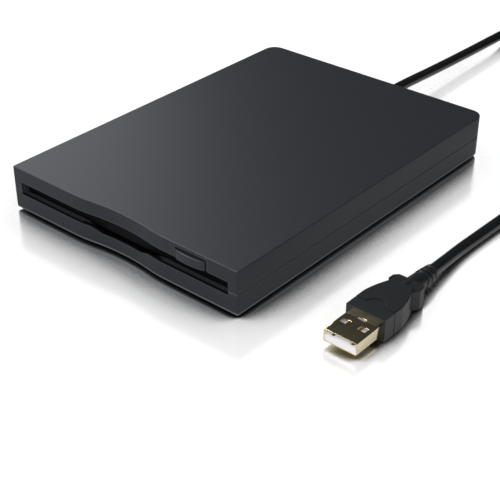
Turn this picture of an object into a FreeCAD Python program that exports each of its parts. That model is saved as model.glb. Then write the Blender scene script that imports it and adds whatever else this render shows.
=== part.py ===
import FreeCAD
import Part
import math
import os
from types import SimpleNamespace

import Sketcher
from FreeCAD import Placement, Rotation, Vector

# External floppy disk drive with a captive USB lead.
# Millimetres. X runs to the right seen from the front, Y from the front to the back, Z up.
# The origin lies on the table, under the middle of the housing.

doc = FreeCAD.newDocument("FloppyDrive")


# ---------------------------------------------------------------- the sheet of sizes

SIZES = (
    ("body_width", 103.0, "housing width"),
    ("body_depth", 141.95, "housing depth, front wall to rear wall"),
    ("shell_height", 16.2, "housing height without its feet"),
    ("foot_height", 0.8, "how far the rubber feet lift the housing"),
    ("parting_height", 8.5, "height of the joint between the covers"),
    ("skin", 1.3, "thickness of the roof and the floor"),
    ("side_wall", 1.4, "thickness of the side and rear walls"),
    ("front_wall", 1.2, "thickness of the front wall"),
    ("front_corner", 0.7, "front corner radius in plan"),
    ("rear_corner", 5.0, "rear corner radius in plan"),
    ("scoop_radius", 85.0, "radius of the shallow finger scoop in plan"),
    ("scoop_half", 13.0, "half width of the scoop's main arc"),
    ("scoop_reach", 21.0, "half width of the scoop with its shoulders"),
    ("slot_half", 47.7, "half width of the disk slot"),
    ("slot_low", 7.2, "lower edge of the disk slot"),
    ("slot_high", 11.9, "upper edge of the disk slot"),
    ("notch_low", 6.0, "floor of the finger notch below the slot"),
    ("button_left", 26.0, "left side of the eject button"),
    ("button_right", 38.1, "right side of the eject button"),
    ("button_high", 15.0, "top of the eject button"),
    ("button_proud", 1.05, "how far the button's face stands out"),
    ("disk_half", 45.4, "half width inside the disk cradle"),
    ("bay_high", 11.85, "underside of the cradle's roof"),
    ("sheet", 0.55, "thickness of the sliding sheet-metal parts"),
    ("cradle_drop", 1.8, "how far the cradle drops when a disk loads"),
    ("eject_travel", 3.0, "travel of the slide plate and its button"),
    ("cradle_pin", 0.8, "radius of the cradle's guide pins"),
    ("pin_front", -45.0, "place of the front guide pins"),
    ("pin_rear", 15.0, "place of the rear guide pins"),
    ("pin_height", 10.4, "height of the guide pins with the cradle up"),
    ("flange_face", 46.4, "inner face of the slide plate's flanges"),
    ("deck_half", 48.1, "half width of the chassis"),
    ("deck_low", 2.7, "underside of the chassis floor"),
    ("deck_high", 3.4, "top of the chassis floor"),
    ("deck_front", -62.0, "front end of the chassis"),
    ("deck_rear", 57.5, "rear end of the chassis"),
    ("lid_low", 14.3, "underside of the mechanism's lid"),
    ("spindle_y", -20.0, "place of the spindle"),
    ("shaft", 1.5, "spindle shaft radius"),
    ("run_gap", 0.05, "running clearance round shafts and pins"),
    ("rotor_radius", 20.4, "outer radius of the rotor cup"),
    ("poles", 12, "number of stator poles"),
    ("rod_x", 6.5, "guide rod, across"),
    ("rod_z", 5.6, "guide rod, height"),
    ("rod", 1.25, "guide rod radius"),
    ("screw_x", -20.0, "lead screw, across"),
    ("screw_z", 8.1, "lead screw, height"),
    ("screw", 1.45, "lead screw radius"),
    ("stepper", 4.5, "stepper motor radius"),
    ("carriage_front", 44.0, "front face of the carriage at the outermost track"),
    ("carriage_rear", 54.0, "rear face of the carriage at the outermost track"),
    ("head_y", 19.5, "magnetic heads at the outermost track"),
    ("arm_pivot_y", 50.0, "pivot of the upper head arm, lengthwise"),
    ("arm_pivot_z", 13.0, "pivot of the upper head arm, height"),
    ("lever_x", 41.0, "shutter lever pivot, across"),
    ("lever_y", 31.0, "shutter lever pivot, lengthwise"),
    ("lever_low", 7.9, "underside of the shutter lever"),
    ("lever_high", 9.7, "top of the shutter lever"),
    ("tip_x", 17.0, "shutter lever tip, across"),
    ("tip_y", 14.6, "shutter lever tip, lengthwise"),
    ("flap_low", 7.4, "lower edge of the dust flap"),
    ("flap_y", -67.4, "flap hinge, lengthwise"),
    ("flap_z", 12.3, "flap hinge, height"),
    ("flap_half", 46.9, "half width of the dust flap"),
    ("flap_thick", 0.8, "thickness of the dust flap"),
    ("boss_x", 43.0, "rear case screws, across"),
    ("boss_y", 62.0, "rear case screws, lengthwise"),
    ("foot", 4.2, "rubber foot radius"),
    ("deck_screw_x", 44.0, "chassis screws, across"),
    ("deck_screw_front", -46.0, "front chassis screws, lengthwise"),
    ("deck_screw_rear", 48.0, "rear chassis screws, lengthwise"),
    ("sensor_x", 41.0, "write-protect and density sensors, across"),
    ("sensor_y", -57.0, "sensors, lengthwise"),
    ("disk_sensor_x", 34.0, "disk-present sensor, across"),
    ("plunger", 0.9, "sensor plunger radius"),
    ("board_front", 59.2, "front edge of the interface board"),
    ("board_rear", 69.2, "rear edge of the interface board"),
    ("board_half", 38.5, "half width of the interface board"),
    ("board_low", 3.6, "underside of the interface board"),
    ("board_high", 4.6, "top of the interface board"),
    ("cord", 2.05, "lead radius"),
    ("cord_x", 3.0, "lead outlet, across"),
    ("grip_length", 8.0, "strain relief outside the rear wall"),
    ("grip", 3.3, "strain relief radius at the wall"),
    ("plug_x", 85.1, "plug axis, across"),
    ("plug_z", 4.1, "plug axis, height"),
    ("plug_half", 7.15, "half width of the plug's grip"),
    ("plug_height", 8.2, "height of the plug's grip"),
    ("plug_face", -51.4, "front face of the plug's grip"),
    ("plug_waist", 4.5, "half width of the grip's waist"),
    ("plug_seam", -46.7, "seam round the plug's grip"),
    ("neck", 2.95, "radius of the plug's neck"),
    ("neck_rear", -15.2, "rear end of the plug's neck"),
    ("usb_width", 12.0, "USB shell width"),
    ("usb_height", 4.5, "USB shell height"),
    ("usb_front", -63.9, "mouth of the USB shell"),
    ("usb_sheet", 0.3, "USB shell sheet thickness"),
    ("coil_x", 20.8, "coil centre, across"),
    ("coil_y", 204.0, "coil centre, lengthwise"),
    ("coil_turn", 23.0, "radius of the coil's outer turn"),
)

sheet = doc.addObject("Spreadsheet::Sheet", "Sizes")
for row, (alias, value, meaning) in enumerate(SIZES, start=1):
    sheet.set("A%d" % row, meaning)
    sheet.set("B%d" % row, str(value))
    sheet.setAlias("B%d" % row, alias)
doc.recompute()


class Size:
    """A length worked out from the sheet, kept both as a number and as the formula behind it."""

    def __init__(self, value, formula):
        self.value = float(value)
        self.formula = formula

    def __add__(self, other):
        return Size(self.value + number(other), "(%s + %s)" % (self.formula, formula(other)))

    def __sub__(self, other):
        return Size(self.value - number(other), "(%s - %s)" % (self.formula, formula(other)))

    def __mul__(self, other):
        return Size(self.value * number(other), "(%s * %s)" % (self.formula, formula(other)))

    def __truediv__(self, other):
        return Size(self.value / number(other), "(%s / %s)" % (self.formula, formula(other)))

    def __radd__(self, other):
        return Size(number(other) + self.value, "(%s + %s)" % (formula(other), self.formula))

    def __rsub__(self, other):
        return Size(number(other) - self.value, "(%s - %s)" % (formula(other), self.formula))

    def __rmul__(self, other):
        return self * other

    def __neg__(self):
        return Size(-self.value, "(-1 * %s)" % self.formula)


def number(length):
    return length.value if isinstance(length, Size) else float(length)


def formula(length):
    return length.formula if isinstance(length, Size) else "(%r)" % float(length)


d = SimpleNamespace(**{alias: Size(value, "Sizes." + alias) for alias, value, _ in SIZES})


# ---------------------------------------------------------------- drawing with the sheet

def bind(item, name, length):
    """Ties one property of a document object to its formula."""
    item.setExpression(name, formula(length))


def name_for(label, kind):
    """A document name for a feature of a sub-part."""
    return "%s_%s" % (label, kind)


def new_body(label):
    part = doc.addObject("PartDesign::Body", label)
    part.Label = label
    part.AllowCompound = True
    return part


def sketch_on(part, role, height=0.0):
    """A sketch on one of the body's own origin planes, lifted along the world axis that crosses it."""
    plane = [item for item in part.Origin.OriginFeatures if item.Role == role][0]
    drawn = part.newObject("Sketcher::SketchObject", name_for(part.Label, "sketch"))
    drawn.AttachmentSupport = [(plane, "")]
    drawn.MapMode = "FlatFace"
    lift = -1 * height if role == "XZ_Plane" else height
    bind(drawn, "AttachmentOffset.Base.z", lift)
    return drawn


def pin_point(drawn, index, end, x, y):
    """Holds one end of a sketch element at a place given by the sheet."""
    for kind, length in (("DistanceX", x), ("DistanceY", y)):
        held = drawn.addConstraint(Sketcher.Constraint(kind, index, end, number(length)))
        drawn.setExpression("Constraints[%d]" % held, formula(length))


def arc_between(start, end, radius):
    """The short arc from start to end: it bends left for a positive radius, right for a negative one."""
    middle = (start + end) * 0.5
    chord = end - start
    reach = abs(number(radius))
    depth = math.sqrt(max(reach * reach - chord.Length * chord.Length / 4.0, 0.0))
    left = Vector(-chord.y, chord.x, 0).normalize()
    side = 1.0 if number(radius) > 0 else -1.0
    centre = middle + left * (depth * side)
    through = centre - left * (reach * side)
    return Part.Arc(start, through, end).toShape().Curve, Part.Arc(start, through, end)


def outline(drawn, points):
    """A closed outline. A point is (x, y), or (x, y, radius) where an arc leaves it for the next one."""
    first = drawn.GeometryCount
    places = [Vector(number(point[0]), number(point[1]), 0) for point in points]
    count = len(points)
    starts = []
    for index, point in enumerate(points):
        start = places[index]
        end = places[(index + 1) % count]
        if len(point) == 3:
            _, arc = arc_between(start, end, point[2])
            drawn.addGeometry(arc)
            starts.append(1 if number(point[2]) > 0 else 2)
            held = drawn.addConstraint(
                Sketcher.Constraint("Radius", first + index, abs(number(point[2]))))
            bend = point[2] if number(point[2]) > 0 else -1 * point[2]
            drawn.setExpression("Constraints[%d]" % held, formula(bend))
        else:
            drawn.addGeometry(Part.LineSegment(start, end))
            starts.append(1)
    for index, point in enumerate(points):
        following = (index + 1) % count
        this_end = 3 - starts[index]
        drawn.addConstraint(Sketcher.Constraint(
            "Coincident", first + index, this_end, first + following, starts[following]))
        pin_point(drawn, first + index, starts[index], point[0], point[1])


def rectangle(drawn, x0, x1, y0, y1):
    outline(drawn, ((x0, y0), (x1, y0), (x1, y1), (x0, y1)))


def circle(drawn, x, y, radius):
    index = drawn.addGeometry(Part.Circle(Vector(number(x), number(y), 0), Vector(0, 0, 1), number(radius)))
    pin_point(drawn, index, 3, x, y)
    held = drawn.addConstraint(Sketcher.Constraint("Radius", index, number(radius)))
    drawn.setExpression("Constraints[%d]" % held, formula(radius))


def pad(part, drawn, length):
    """Adds material from the sketch towards +X, +Y or +Z."""
    grown = part.newObject("PartDesign::Pad", name_for(part.Label, "pad"))
    grown.Profile = drawn
    bind(grown, "Length", length)
    grown.Reversed = on_front_plane(drawn)
    drawn.Visibility = False
    return grown


def pocket(part, drawn, length):
    """Cuts from the sketch towards +X, +Y or +Z, and checks that something was cut."""
    doc.recompute()
    before = part.Shape.Volume
    hollow = part.newObject("PartDesign::Pocket", name_for(part.Label, "pocket"))
    hollow.Profile = drawn
    bind(hollow, "Length", length)
    hollow.Reversed = not on_front_plane(drawn)
    doc.recompute()
    if not part.Shape.Volume < before - 1e-6:
        raise ValueError("a pocket in %s cut nothing" % part.Label)
    return hollow


def on_front_plane(drawn):
    return drawn.AttachmentSupport[0][0].Role == "XZ_Plane"


def revolve(part, drawn, axis="V_Axis"):
    turned = part.newObject("PartDesign::Revolution", name_for(part.Label, "revolution"))
    turned.Profile = drawn
    turned.ReferenceAxis = (drawn, [axis])
    turned.Angle = 360.0
    return turned


def round_edges(part, radius, wanted, kind="Fillet"):
    """Rounds or bevels the edges of the body's tip that the test picks."""
    doc.recompute()
    tip = part.Tip
    picked = ["Edge%d" % (index + 1) for index, edge in enumerate(tip.Shape.Edges) if wanted(edge)]
    if not picked:
        raise ValueError("no edge to round on %s" % part.Label)
    dressed = part.newObject("PartDesign::%s" % kind, name_for(part.Label, kind.lower()))
    dressed.Base = (tip, picked)
    bind(dressed, "Radius" if kind == "Fillet" else "Size", radius)
    doc.recompute()
    return dressed


def level(edge, height, slack=0.02):
    """True for an edge that lies flat at one height."""
    box = edge.BoundBox
    return abs(box.ZMin - number(height)) < slack and abs(box.ZMax - number(height)) < slack


def block(label, x0, x1, y0, y1, z0, z1):
    """A Part box between six planes."""
    solid = doc.addObject("Part::Box", label)
    solid.Label = label
    for name, low, high in (("Length", x0, x1), ("Width", y0, y1), ("Height", z0, z1)):
        bind(solid, name, Size(number(high) - number(low), "(%s - %s)" % (formula(high), formula(low))))
    for name, low in (("x", x0), ("y", y0), ("z", z0)):
        bind(solid, "Placement.Base." + name, low)
    return solid


def bar(label, radius, start, length, axis="Z"):
    """A Part cylinder from a start point along +X, +Y or +Z."""
    turns = {"X": Rotation(Vector(0, 1, 0), 90), "Y": Rotation(Vector(1, 0, 0), -90), "Z": Rotation()}
    solid = doc.addObject("Part::Cylinder", label)
    solid.Label = label
    bind(solid, "Radius", radius)
    bind(solid, "Height", length)
    solid.Placement = Placement(Vector(), turns[axis])
    for name, place in zip("xyz", start):
        bind(solid, "Placement.Base." + name, place)
    return solid


def cut(label, base, *tools):
    solid = doc.addObject("Part::Cut", label)
    solid.Label = label
    solid.Base = base
    solid.Tool = tools[0] if len(tools) == 1 else group(label + "_tools", *tools)
    return solid


def fuse(label, *pieces):
    solid = doc.addObject("Part::MultiFuse", label)
    solid.Label = label
    solid.Shapes = list(pieces)
    return solid


def group(label, *pieces):
    """Separate solids kept together, such as a set of identical screws."""
    together = doc.addObject("Part::Compound", label)
    together.Label = label
    together.Links = list(pieces)
    return together


subparts = []


def keep(part):
    """Marks a document object as a sub-part that is handed over in a file of its own."""
    subparts.append(part)
    return part


# ---------------------------------------------------------------- shared places

front_y = -0.5 * (d.body_depth - d.button_proud)
rear_y = front_y + d.body_depth
half_width = d.body_width / 2
shell_low = d.foot_height
shell_high = d.foot_height + d.shell_height
roof_under = shell_high - d.skin
floor_top = shell_low + d.skin
inner_half = half_width - d.side_wall
inner_rear = rear_y - d.side_wall
inner_front = front_y + d.front_wall
mirror_sides = (-1, 1)

# the scoop's main arc ends with this slope, where its shoulders take over
scoop_slope = d.scoop_half / d.scoop_radius


def plan_outline(drawn, inset_front, inset, reach, front_round):
    """The housing seen from above, with the finger scoop in its front edge."""
    shoulder = (reach - d.scoop_half) / scoop_slope
    dip = (reach - d.scoop_half) * scoop_slope / 2
    front = front_y + inset_front
    side = half_width - inset
    back = rear_y - inset
    rear_round = d.rear_corner - inset
    outline(drawn, (
        (-1 * side + front_round, front),
        (-1 * reach, front, shoulder),
        (-1 * d.scoop_half, front + dip, -1 * d.scoop_radius),
        (d.scoop_half, front + dip, shoulder),
        (reach, front),
        (side - front_round, front, front_round),
        (side, front + front_round),
        (side, back - rear_round, rear_round),
        (side - rear_round, back),
        (-1 * side + rear_round, back, rear_round),
        (-1 * side, back - rear_round),
        (-1 * side, front + front_round, front_round),
    ))


# the inner face of the front wall follows the scoop, with less room for its shoulders
inner_reach = d.scoop_half + 3.3


def outer_rim(height):
    """Picks the edges round the outside of a cover at one height."""
    def test(edge):
        if not level(edge, height):
            return False
        box = edge.BoundBox
        middle = box.Center
        beside = abs(middle.x) > number(half_width) - number(d.rear_corner)
        behind = middle.y > number(rear_y) - number(d.rear_corner)
        before = box.YMin < number(front_y) + 1.75 and middle.y < number(front_y) + 1.75
        return beside or behind or before
    return test


# ---------------------------------------------------------------- housing

def make_top_cover():
    """Upper half of the housing: roof, walls, the top of the disk slot and the button's cut-out."""
    part = new_body("top_cover")
    drawn = sketch_on(part, "XY_Plane", d.parting_height)
    plan_outline(drawn, 0.0, 0.0, d.scoop_reach, d.front_corner)
    pad(part, drawn, shell_high - d.parting_height)
    round_edges(part, 0.4, outer_rim(shell_high))
    round_edges(part, 0.2, outer_rim(d.parting_height), "Chamfer")

    drawn = sketch_on(part, "XY_Plane", d.parting_height)
    plan_outline(drawn, d.front_wall, d.side_wall, inner_reach, 0.3)
    pocket(part, drawn, roof_under - d.parting_height)

    drawn = sketch_on(part, "XZ_Plane", front_y - 1.0)
    rectangle(drawn, -1 * d.slot_half, d.slot_half, d.parting_height - 1.0, d.slot_high)
    pocket(part, drawn, 4.0)

    drawn = sketch_on(part, "XZ_Plane", front_y - 1.0)
    rectangle(drawn, d.button_left - 0.2, d.button_right + 0.9, d.slot_high - 0.5, d.button_high + 0.95)
    pocket(part, drawn, 4.0)

    # two bosses take the case screws, and four tongues on the side walls locate the lower cover
    drawn = sketch_on(part, "XY_Plane", d.parting_height)
    for side in mirror_sides:
        circle(drawn, side * d.boss_x, d.boss_y, 2.8)
    pad(part, drawn, roof_under - d.parting_height + 0.2)
    drawn = sketch_on(part, "XY_Plane", d.parting_height - 0.5)
    for side in mirror_sides:
        circle(drawn, side * d.boss_x, d.boss_y, 1.0)
    pocket(part, drawn, 6.5)
    for middle in (-32.0, 28.0):
        drawn = sketch_on(part, "XZ_Plane", middle - 4.0)
        for side in mirror_sides:
            outer = side * (inner_half + 0.3)
            inner = side * (inner_half - 1.1)
            tongue = side * (inner_half - 0.2)
            outline(drawn, (
                (inner, d.parting_height - 2.8), (tongue, d.parting_height - 2.8),
                (tongue, d.parting_height), (outer, d.parting_height),
                (outer, d.parting_height + 2.5), (inner, d.parting_height + 2.5)))
        pad(part, drawn, 8.0)

    # upper half of the lead's outlet
    drawn = sketch_on(part, "XZ_Plane", inner_rear - 1.0)
    circle(drawn, d.cord_x, d.parting_height, d.grip - 0.5)
    pocket(part, drawn, 4.0)
    keep(part)


def make_bottom_cover():
    """Lower half of the housing: floor, walls, the slot's lip with the finger notch, bosses and wells."""
    part = new_body("bottom_cover")
    drawn = sketch_on(part, "XY_Plane", shell_low)
    plan_outline(drawn, 0.0, 0.0, d.scoop_reach, d.front_corner)
    pad(part, drawn, d.parting_height - shell_low)
    round_edges(part, 0.7, outer_rim(shell_low))
    round_edges(part, 0.2, outer_rim(d.parting_height), "Chamfer")

    drawn = sketch_on(part, "XY_Plane", floor_top)
    plan_outline(drawn, d.front_wall, d.side_wall, inner_reach, 0.3)
    pocket(part, drawn, d.parting_height - floor_top + 1.0)

    drawn = sketch_on(part, "XZ_Plane", front_y - 1.0)
    rectangle(drawn, -1 * d.slot_half, d.slot_half, d.slot_low, d.parting_height + 1.0)
    pocket(part, drawn, 4.0)

    drawn = sketch_on(part, "XZ_Plane", front_y - 1.0)
    outline(drawn, (
        (-8.9, d.notch_low), (8.9, d.notch_low), (14.6, d.slot_low + 0.5), (-14.6, d.slot_low + 0.5)))
    pocket(part, drawn, 4.0)

    # slit for the activity light
    drawn = sketch_on(part, "XZ_Plane", front_y - 1.0)
    rectangle(drawn, -27.05, -26.45, 2.8, 4.0)
    pocket(part, drawn, 4.0)

    # bosses: two for the case screws, four standoffs for the chassis, four posts for the board
    drawn = sketch_on(part, "XY_Plane", floor_top - 0.2)
    for side in mirror_sides:
        circle(drawn, side * d.boss_x, d.boss_y, 3.3)
    pad(part, drawn, d.parting_height - floor_top)
    drawn = sketch_on(part, "XY_Plane", floor_top - 0.2)
    for side in mirror_sides:
        circle(drawn, side * d.deck_screw_x, d.deck_screw_front, 2.5)
        circle(drawn, side * d.deck_screw_x, d.deck_screw_rear, 2.5)
    pad(part, drawn, d.deck_low - floor_top + 0.2)
    drawn = sketch_on(part, "XY_Plane", floor_top - 0.2)
    for side in mirror_sides:
        circle(drawn, side * 34.0, d.board_front + 1.8, 1.6)
        circle(drawn, side * 34.0, d.board_rear - 1.8, 1.6)
    pad(part, drawn, d.board_low - floor_top + 0.2)

    drawn = sketch_on(part, "XY_Plane", shell_low - 0.5)
    for side in mirror_sides:
        circle(drawn, side * d.boss_x, d.boss_y, 2.4)
    pocket(part, drawn, 2.2)
    drawn = sketch_on(part, "XY_Plane", shell_low)
    for side in mirror_sides:
        circle(drawn, side * d.boss_x, d.boss_y, 1.15)
    pocket(part, drawn, d.parting_height)
    drawn = sketch_on(part, "XY_Plane", shell_low - 0.5)
    for side in mirror_sides:
        circle(drawn, side * d.boss_x, d.boss_y, d.foot)
        circle(drawn, side * d.boss_x, -60.0, d.foot)
    pocket(part, drawn, 0.9)
    drawn = sketch_on(part, "XY_Plane", d.deck_low - 1.2)
    for side in mirror_sides:
        circle(drawn, side * d.deck_screw_x, d.deck_screw_front, 0.85)
        circle(drawn, side * d.deck_screw_x, d.deck_screw_rear, 0.85)
    pocket(part, drawn, 2.0)

    # lower half of the lead's outlet
    drawn = sketch_on(part, "XZ_Plane", inner_rear - 1.0)
    circle(drawn, d.cord_x, d.parting_height, d.grip - 0.5)
    pocket(part, drawn, 4.0)
    keep(part)


def make_slot_bezel():
    """Moulded frame behind the slot: a low sill with a dip for the notch, and a post at each end."""
    part = new_body("slot_bezel")
    post = d.flap_half + 0.35
    sill = d.slot_low - 0.2
    back = d.flap_y + d.flap_thick / 2 + 0.1
    middle = d.flap_y - d.flap_thick / 2 - 0.1
    drawn = sketch_on(part, "XZ_Plane", middle)
    outline(drawn, (
        (-49.4, 4.3), (49.4, 4.3), (49.4, 13.6), (post, 13.6), (post, sill), (17.8, sill),
        (11.4, d.notch_low - 0.8), (-11.4, d.notch_low - 0.8), (-17.8, sill),
        (-1 * post, sill), (-1 * post, 13.6), (-49.4, 13.6)))
    pad(part, drawn, back - middle)
    drawn = sketch_on(part, "XZ_Plane", inner_front + 0.05)
    for side in mirror_sides:
        outline(drawn, (
            (side * 18.4, 4.3), (side * 49.4, 4.3), (side * 49.4, 13.6),
            (side * post, 13.6), (side * post, sill), (side * 18.4, sill)))
    pad(part, drawn, middle - inner_front + 0.05)
    drawn = sketch_on(part, "YZ_Plane", -49.0)
    circle(drawn, d.flap_y, d.flap_z, 0.45)
    pocket(part, drawn, 98.0)
    keep(part)


def make_feet_and_screws():
    """Four rubber feet, the rear two over the case screws, and the screws that hold the chassis."""
    feet = []
    for side in mirror_sides:
        for name, place in (("front", Size(-60.0, "(-60.0)")), ("rear", d.boss_y)):
            label = "foot_%s_%s" % (name, "left" if side < 0 else "right")
            feet.append(bar(label, d.foot - 0.1, (side * d.boss_x, place, 0.0), d.foot_height + 0.4))
    keep(group("rubber_feet", *feet))

    keep(group("case_screws", *[
        fuse("case_screw_%s" % ("left" if side < 0 else "right"),
             bar("case_head_%d" % (side + 2), 2.1, (side * d.boss_x, d.boss_y, 1.3), 1.2),
             bar("case_shank_%d" % (side + 2), 0.95, (side * d.boss_x, d.boss_y, 2.4), 11.6))
        for side in mirror_sides]))

    screws = []
    for index, (side, place) in enumerate(
            (s, y) for s in mirror_sides for y in (d.deck_screw_front, d.deck_screw_rear)):
        at = (side * d.deck_screw_x, place)
        screws.append(fuse(
            "chassis_screw_%d" % index,
            bar("chassis_head_%d" % index, 1.7, (at[0], at[1], d.deck_high), 0.9),
            bar("chassis_shank_%d" % index, 0.8, (at[0], at[1], d.deck_low - 1.0), 1.8)))
    keep(group("chassis_screws", *screws))


def make_led_lens():
    """Clear light guide behind the slit in the front wall."""
    tip = block("led_tip", -26.98, -26.52, inner_front - 1.0, inner_front + 0.1, 2.88, 3.92)
    root = block("led_root", -27.75, -25.75, inner_front + 0.1, inner_front + 3.0, 2.4, 4.2)
    keep(fuse("led_lens", tip, root))


# ---------------------------------------------------------------- chassis and drive mechanism

def make_chassis_deck():
    """Pressed steel tray that carries the mechanism, with upright guide slots for the cradle's pins."""
    part = new_body("chassis_deck")
    wall = d.deck_half - 0.7
    outside = d.deck_half
    drawn = sketch_on(part, "XZ_Plane", d.deck_front)
    outline(drawn, (
        (-1 * outside, d.deck_low), (outside, d.deck_low), (outside, d.lid_low), (wall, d.lid_low),
        (wall, d.deck_high), (-1 * wall, d.deck_high), (-1 * wall, d.lid_low), (-1 * outside, d.lid_low)))
    pad(part, drawn, d.deck_rear - d.deck_front)

    # guide slots, open to the top edge so that the cradle can be lowered in
    drawn = sketch_on(part, "YZ_Plane", -49.0)
    for place in (d.pin_front, d.pin_rear):
        rectangle(drawn, place - d.cradle_pin - 0.1, place + d.cradle_pin + 0.1,
                  d.pin_height - d.cradle_drop - d.cradle_pin - 0.2, d.lid_low + 1.0)
    pocket(part, drawn, 98.0)

    # spindle hole, clearance windows, screw holes
    drawn = sketch_on(part, "XY_Plane", d.deck_low - 1.0)
    circle(drawn, 0.0, d.spindle_y, 3.6)
    for side in mirror_sides:
        rectangle(drawn, side * 14.0, side * 34.0, 4.0, 22.0)
        circle(drawn, side * d.deck_screw_x, d.deck_screw_front, 0.95)
        circle(drawn, side * d.deck_screw_x, d.deck_screw_rear, 0.95)
    pocket(part, drawn, 2.5)
    keep(part)


def make_drive_lid():
    """Sheet lid on the tray's walls, open over the head arm, with a bent tab for each slide spring."""
    part = new_body("drive_lid")
    drawn = sketch_on(part, "XY_Plane", d.lid_low)
    rectangle(drawn, -1 * d.deck_half, d.deck_half, d.deck_front + 2.0, d.deck_rear)
    pad(part, drawn, 0.5)
    drawn = sketch_on(part, "XY_Plane", d.lid_low - 1.0)
    rectangle(drawn, -10.0, 10.0, -6.0, 54.5)
    pocket(part, drawn, 2.5)
    drawn = sketch_on(part, "XY_Plane", 12.95)
    for side in mirror_sides:
        rectangle(drawn, side * 29.2, side * 30.8, -41.6, -41.1)
    pad(part, drawn, d.lid_low - 12.95 + 0.1)
    keep(part)


def make_disk_cradle():
    """Folded sheet carrier that holds the disk, with a ledge down each side and a window for the heads."""
    part = new_body("disk_cradle")
    ledge = d.disk_half - 3.9
    low = d.flap_low - d.sheet
    outer = d.disk_half + d.sheet
    drawn = sketch_on(part, "XZ_Plane", -59.0)
    outline(drawn, (
        (-1 * outer, low), (-1 * ledge, low), (-1 * ledge, d.flap_low), (-1 * d.disk_half, d.flap_low),
        (-1 * d.disk_half, d.bay_high), (d.disk_half, d.bay_high), (d.disk_half, d.flap_low),
        (ledge, d.flap_low), (ledge, low), (outer, low),
        (outer, d.bay_high + d.sheet), (-1 * outer, d.bay_high + d.sheet)))
    pad(part, drawn, 83.0)

    drawn = sketch_on(part, "XY_Plane", d.bay_high - 1.0)
    rectangle(drawn, -8.0, 8.0, -5.0, 25.0)
    pocket(part, drawn, 2.5)
    # the ledges stop short of the sensors, and the walls with them
    drawn = sketch_on(part, "XY_Plane", low - 1.0)
    for side in mirror_sides:
        rectangle(drawn, side * 38.0, side * 47.0, -60.0, -52.5)
    pocket(part, drawn, 2.2)
    # stiffening openings in the roof
    drawn = sketch_on(part, "XY_Plane", d.bay_high - 1.0)
    for side in mirror_sides:
        rectangle(drawn, side * 14.0, side * 24.0, -40.0, -14.0)
    pocket(part, drawn, 2.5)
    keep(part)

    pins = []
    for side in mirror_sides:
        for name, place in (("front", d.pin_front), ("rear", d.pin_rear)):
            start = outer if side > 0 else -1 * outer - 2.05
            label = "cradle_pin_%s_%s" % (name, "left" if side < 0 else "right")
            pins.append(bar(label, d.cradle_pin, (start, place, d.pin_height), 2.05, "X"))
    keep(group("cradle_pins", *pins))


def make_slide_plate():
    """Sheet plate that the eject button pushes; sloping slots in its flanges lift the cradle."""
    part = new_body("slide_plate")
    low = d.bay_high + d.sheet + 0.55
    outer = d.flange_face + d.sheet
    drawn = sketch_on(part, "XZ_Plane", -54.0)
    outline(drawn, (
        (-1 * outer, 8.4), (-1 * d.flange_face, 8.4), (-1 * d.flange_face, low), (d.flange_face, low),
        (d.flange_face, 8.4), (outer, 8.4), (outer, low + d.sheet), (-1 * outer, low + d.sheet)))
    pad(part, drawn, 77.5)
    drawn = sketch_on(part, "XY_Plane", low)
    outline(drawn, (
        (-1 * outer, -60.0), (28.6, -60.0), (28.6, -66.6), (35.8, -66.6), (35.8, -60.0),
        (outer, -60.0), (outer, -53.5), (-1 * outer, -53.5)))
    pad(part, drawn, d.sheet)

    # window over the heads, spring windows and a lightening hole over the spindle
    drawn = sketch_on(part, "XY_Plane", low - 1.0)
    rectangle(drawn, -9.0, 9.0, -6.5, 24.5)
    rectangle(drawn, -20.0, 20.0, -45.0, -12.0)
    for side in mirror_sides:
        rectangle(drawn, side * 26.5, side * 33.5, -45.5, -8.0)
    pocket(part, drawn, 2.5)

    # sloping slots: the pins go back and down in them as the plate comes forward
    slope = d.cradle_drop / d.eject_travel
    reach = d.eject_travel + 0.4
    half_slot = d.cradle_pin + 0.12
    drawn = sketch_on(part, "YZ_Plane", -49.0)
    for place in (d.pin_front, d.pin_rear):
        near = place - 0.4
        far = place + reach
        high = d.pin_height + 0.4 * slope
        down = d.pin_height - reach * slope
        rise = half_slot * 1.17
        outline(drawn, (
            (near - half_slot, high - rise), (far, down - rise), (far + half_slot, down - rise),
            (far + half_slot, down), (far, down + rise), (near, high + rise), (near - half_slot, high + rise)))
    pocket(part, drawn, 98.0)

    # upright tabs that the springs hook on
    drawn = sketch_on(part, "XY_Plane", low + d.sheet - 0.1)
    for side in mirror_sides:
        rectangle(drawn, side * 29.2, side * 30.8, -7.7, -7.2)
    pad(part, drawn, 0.6)
    keep(part)


def make_slide_springs():
    """Two close-wound tension springs that draw the slide plate forward."""
    springs = []
    for side in mirror_sides:
        name = "left" if side < 0 else "right"
        coil = bar("spring_coil_" + name, 0.8, (side * 30.0, -38.5, 13.4), 28.5, "Y")
        bore = bar("spring_bore_" + name, 0.5, (side * 30.0, -39.5, 13.4), 30.5, "Y")
        hooks = [
            block("spring_hook_front_" + name, side * 30.0 - 0.15, side * 30.0 + 0.15, -41.0, -38.5, 13.9, 14.2),
            block("spring_hook_rear_" + name, side * 30.0 - 0.15, side * 30.0 + 0.15, -10.0, -7.75, 13.9, 14.2)]
        springs.append(fuse("slide_spring_" + name, cut("spring_tube_" + name, coil, bore), *hooks))
    keep(group("slide_springs", *springs))


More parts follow.
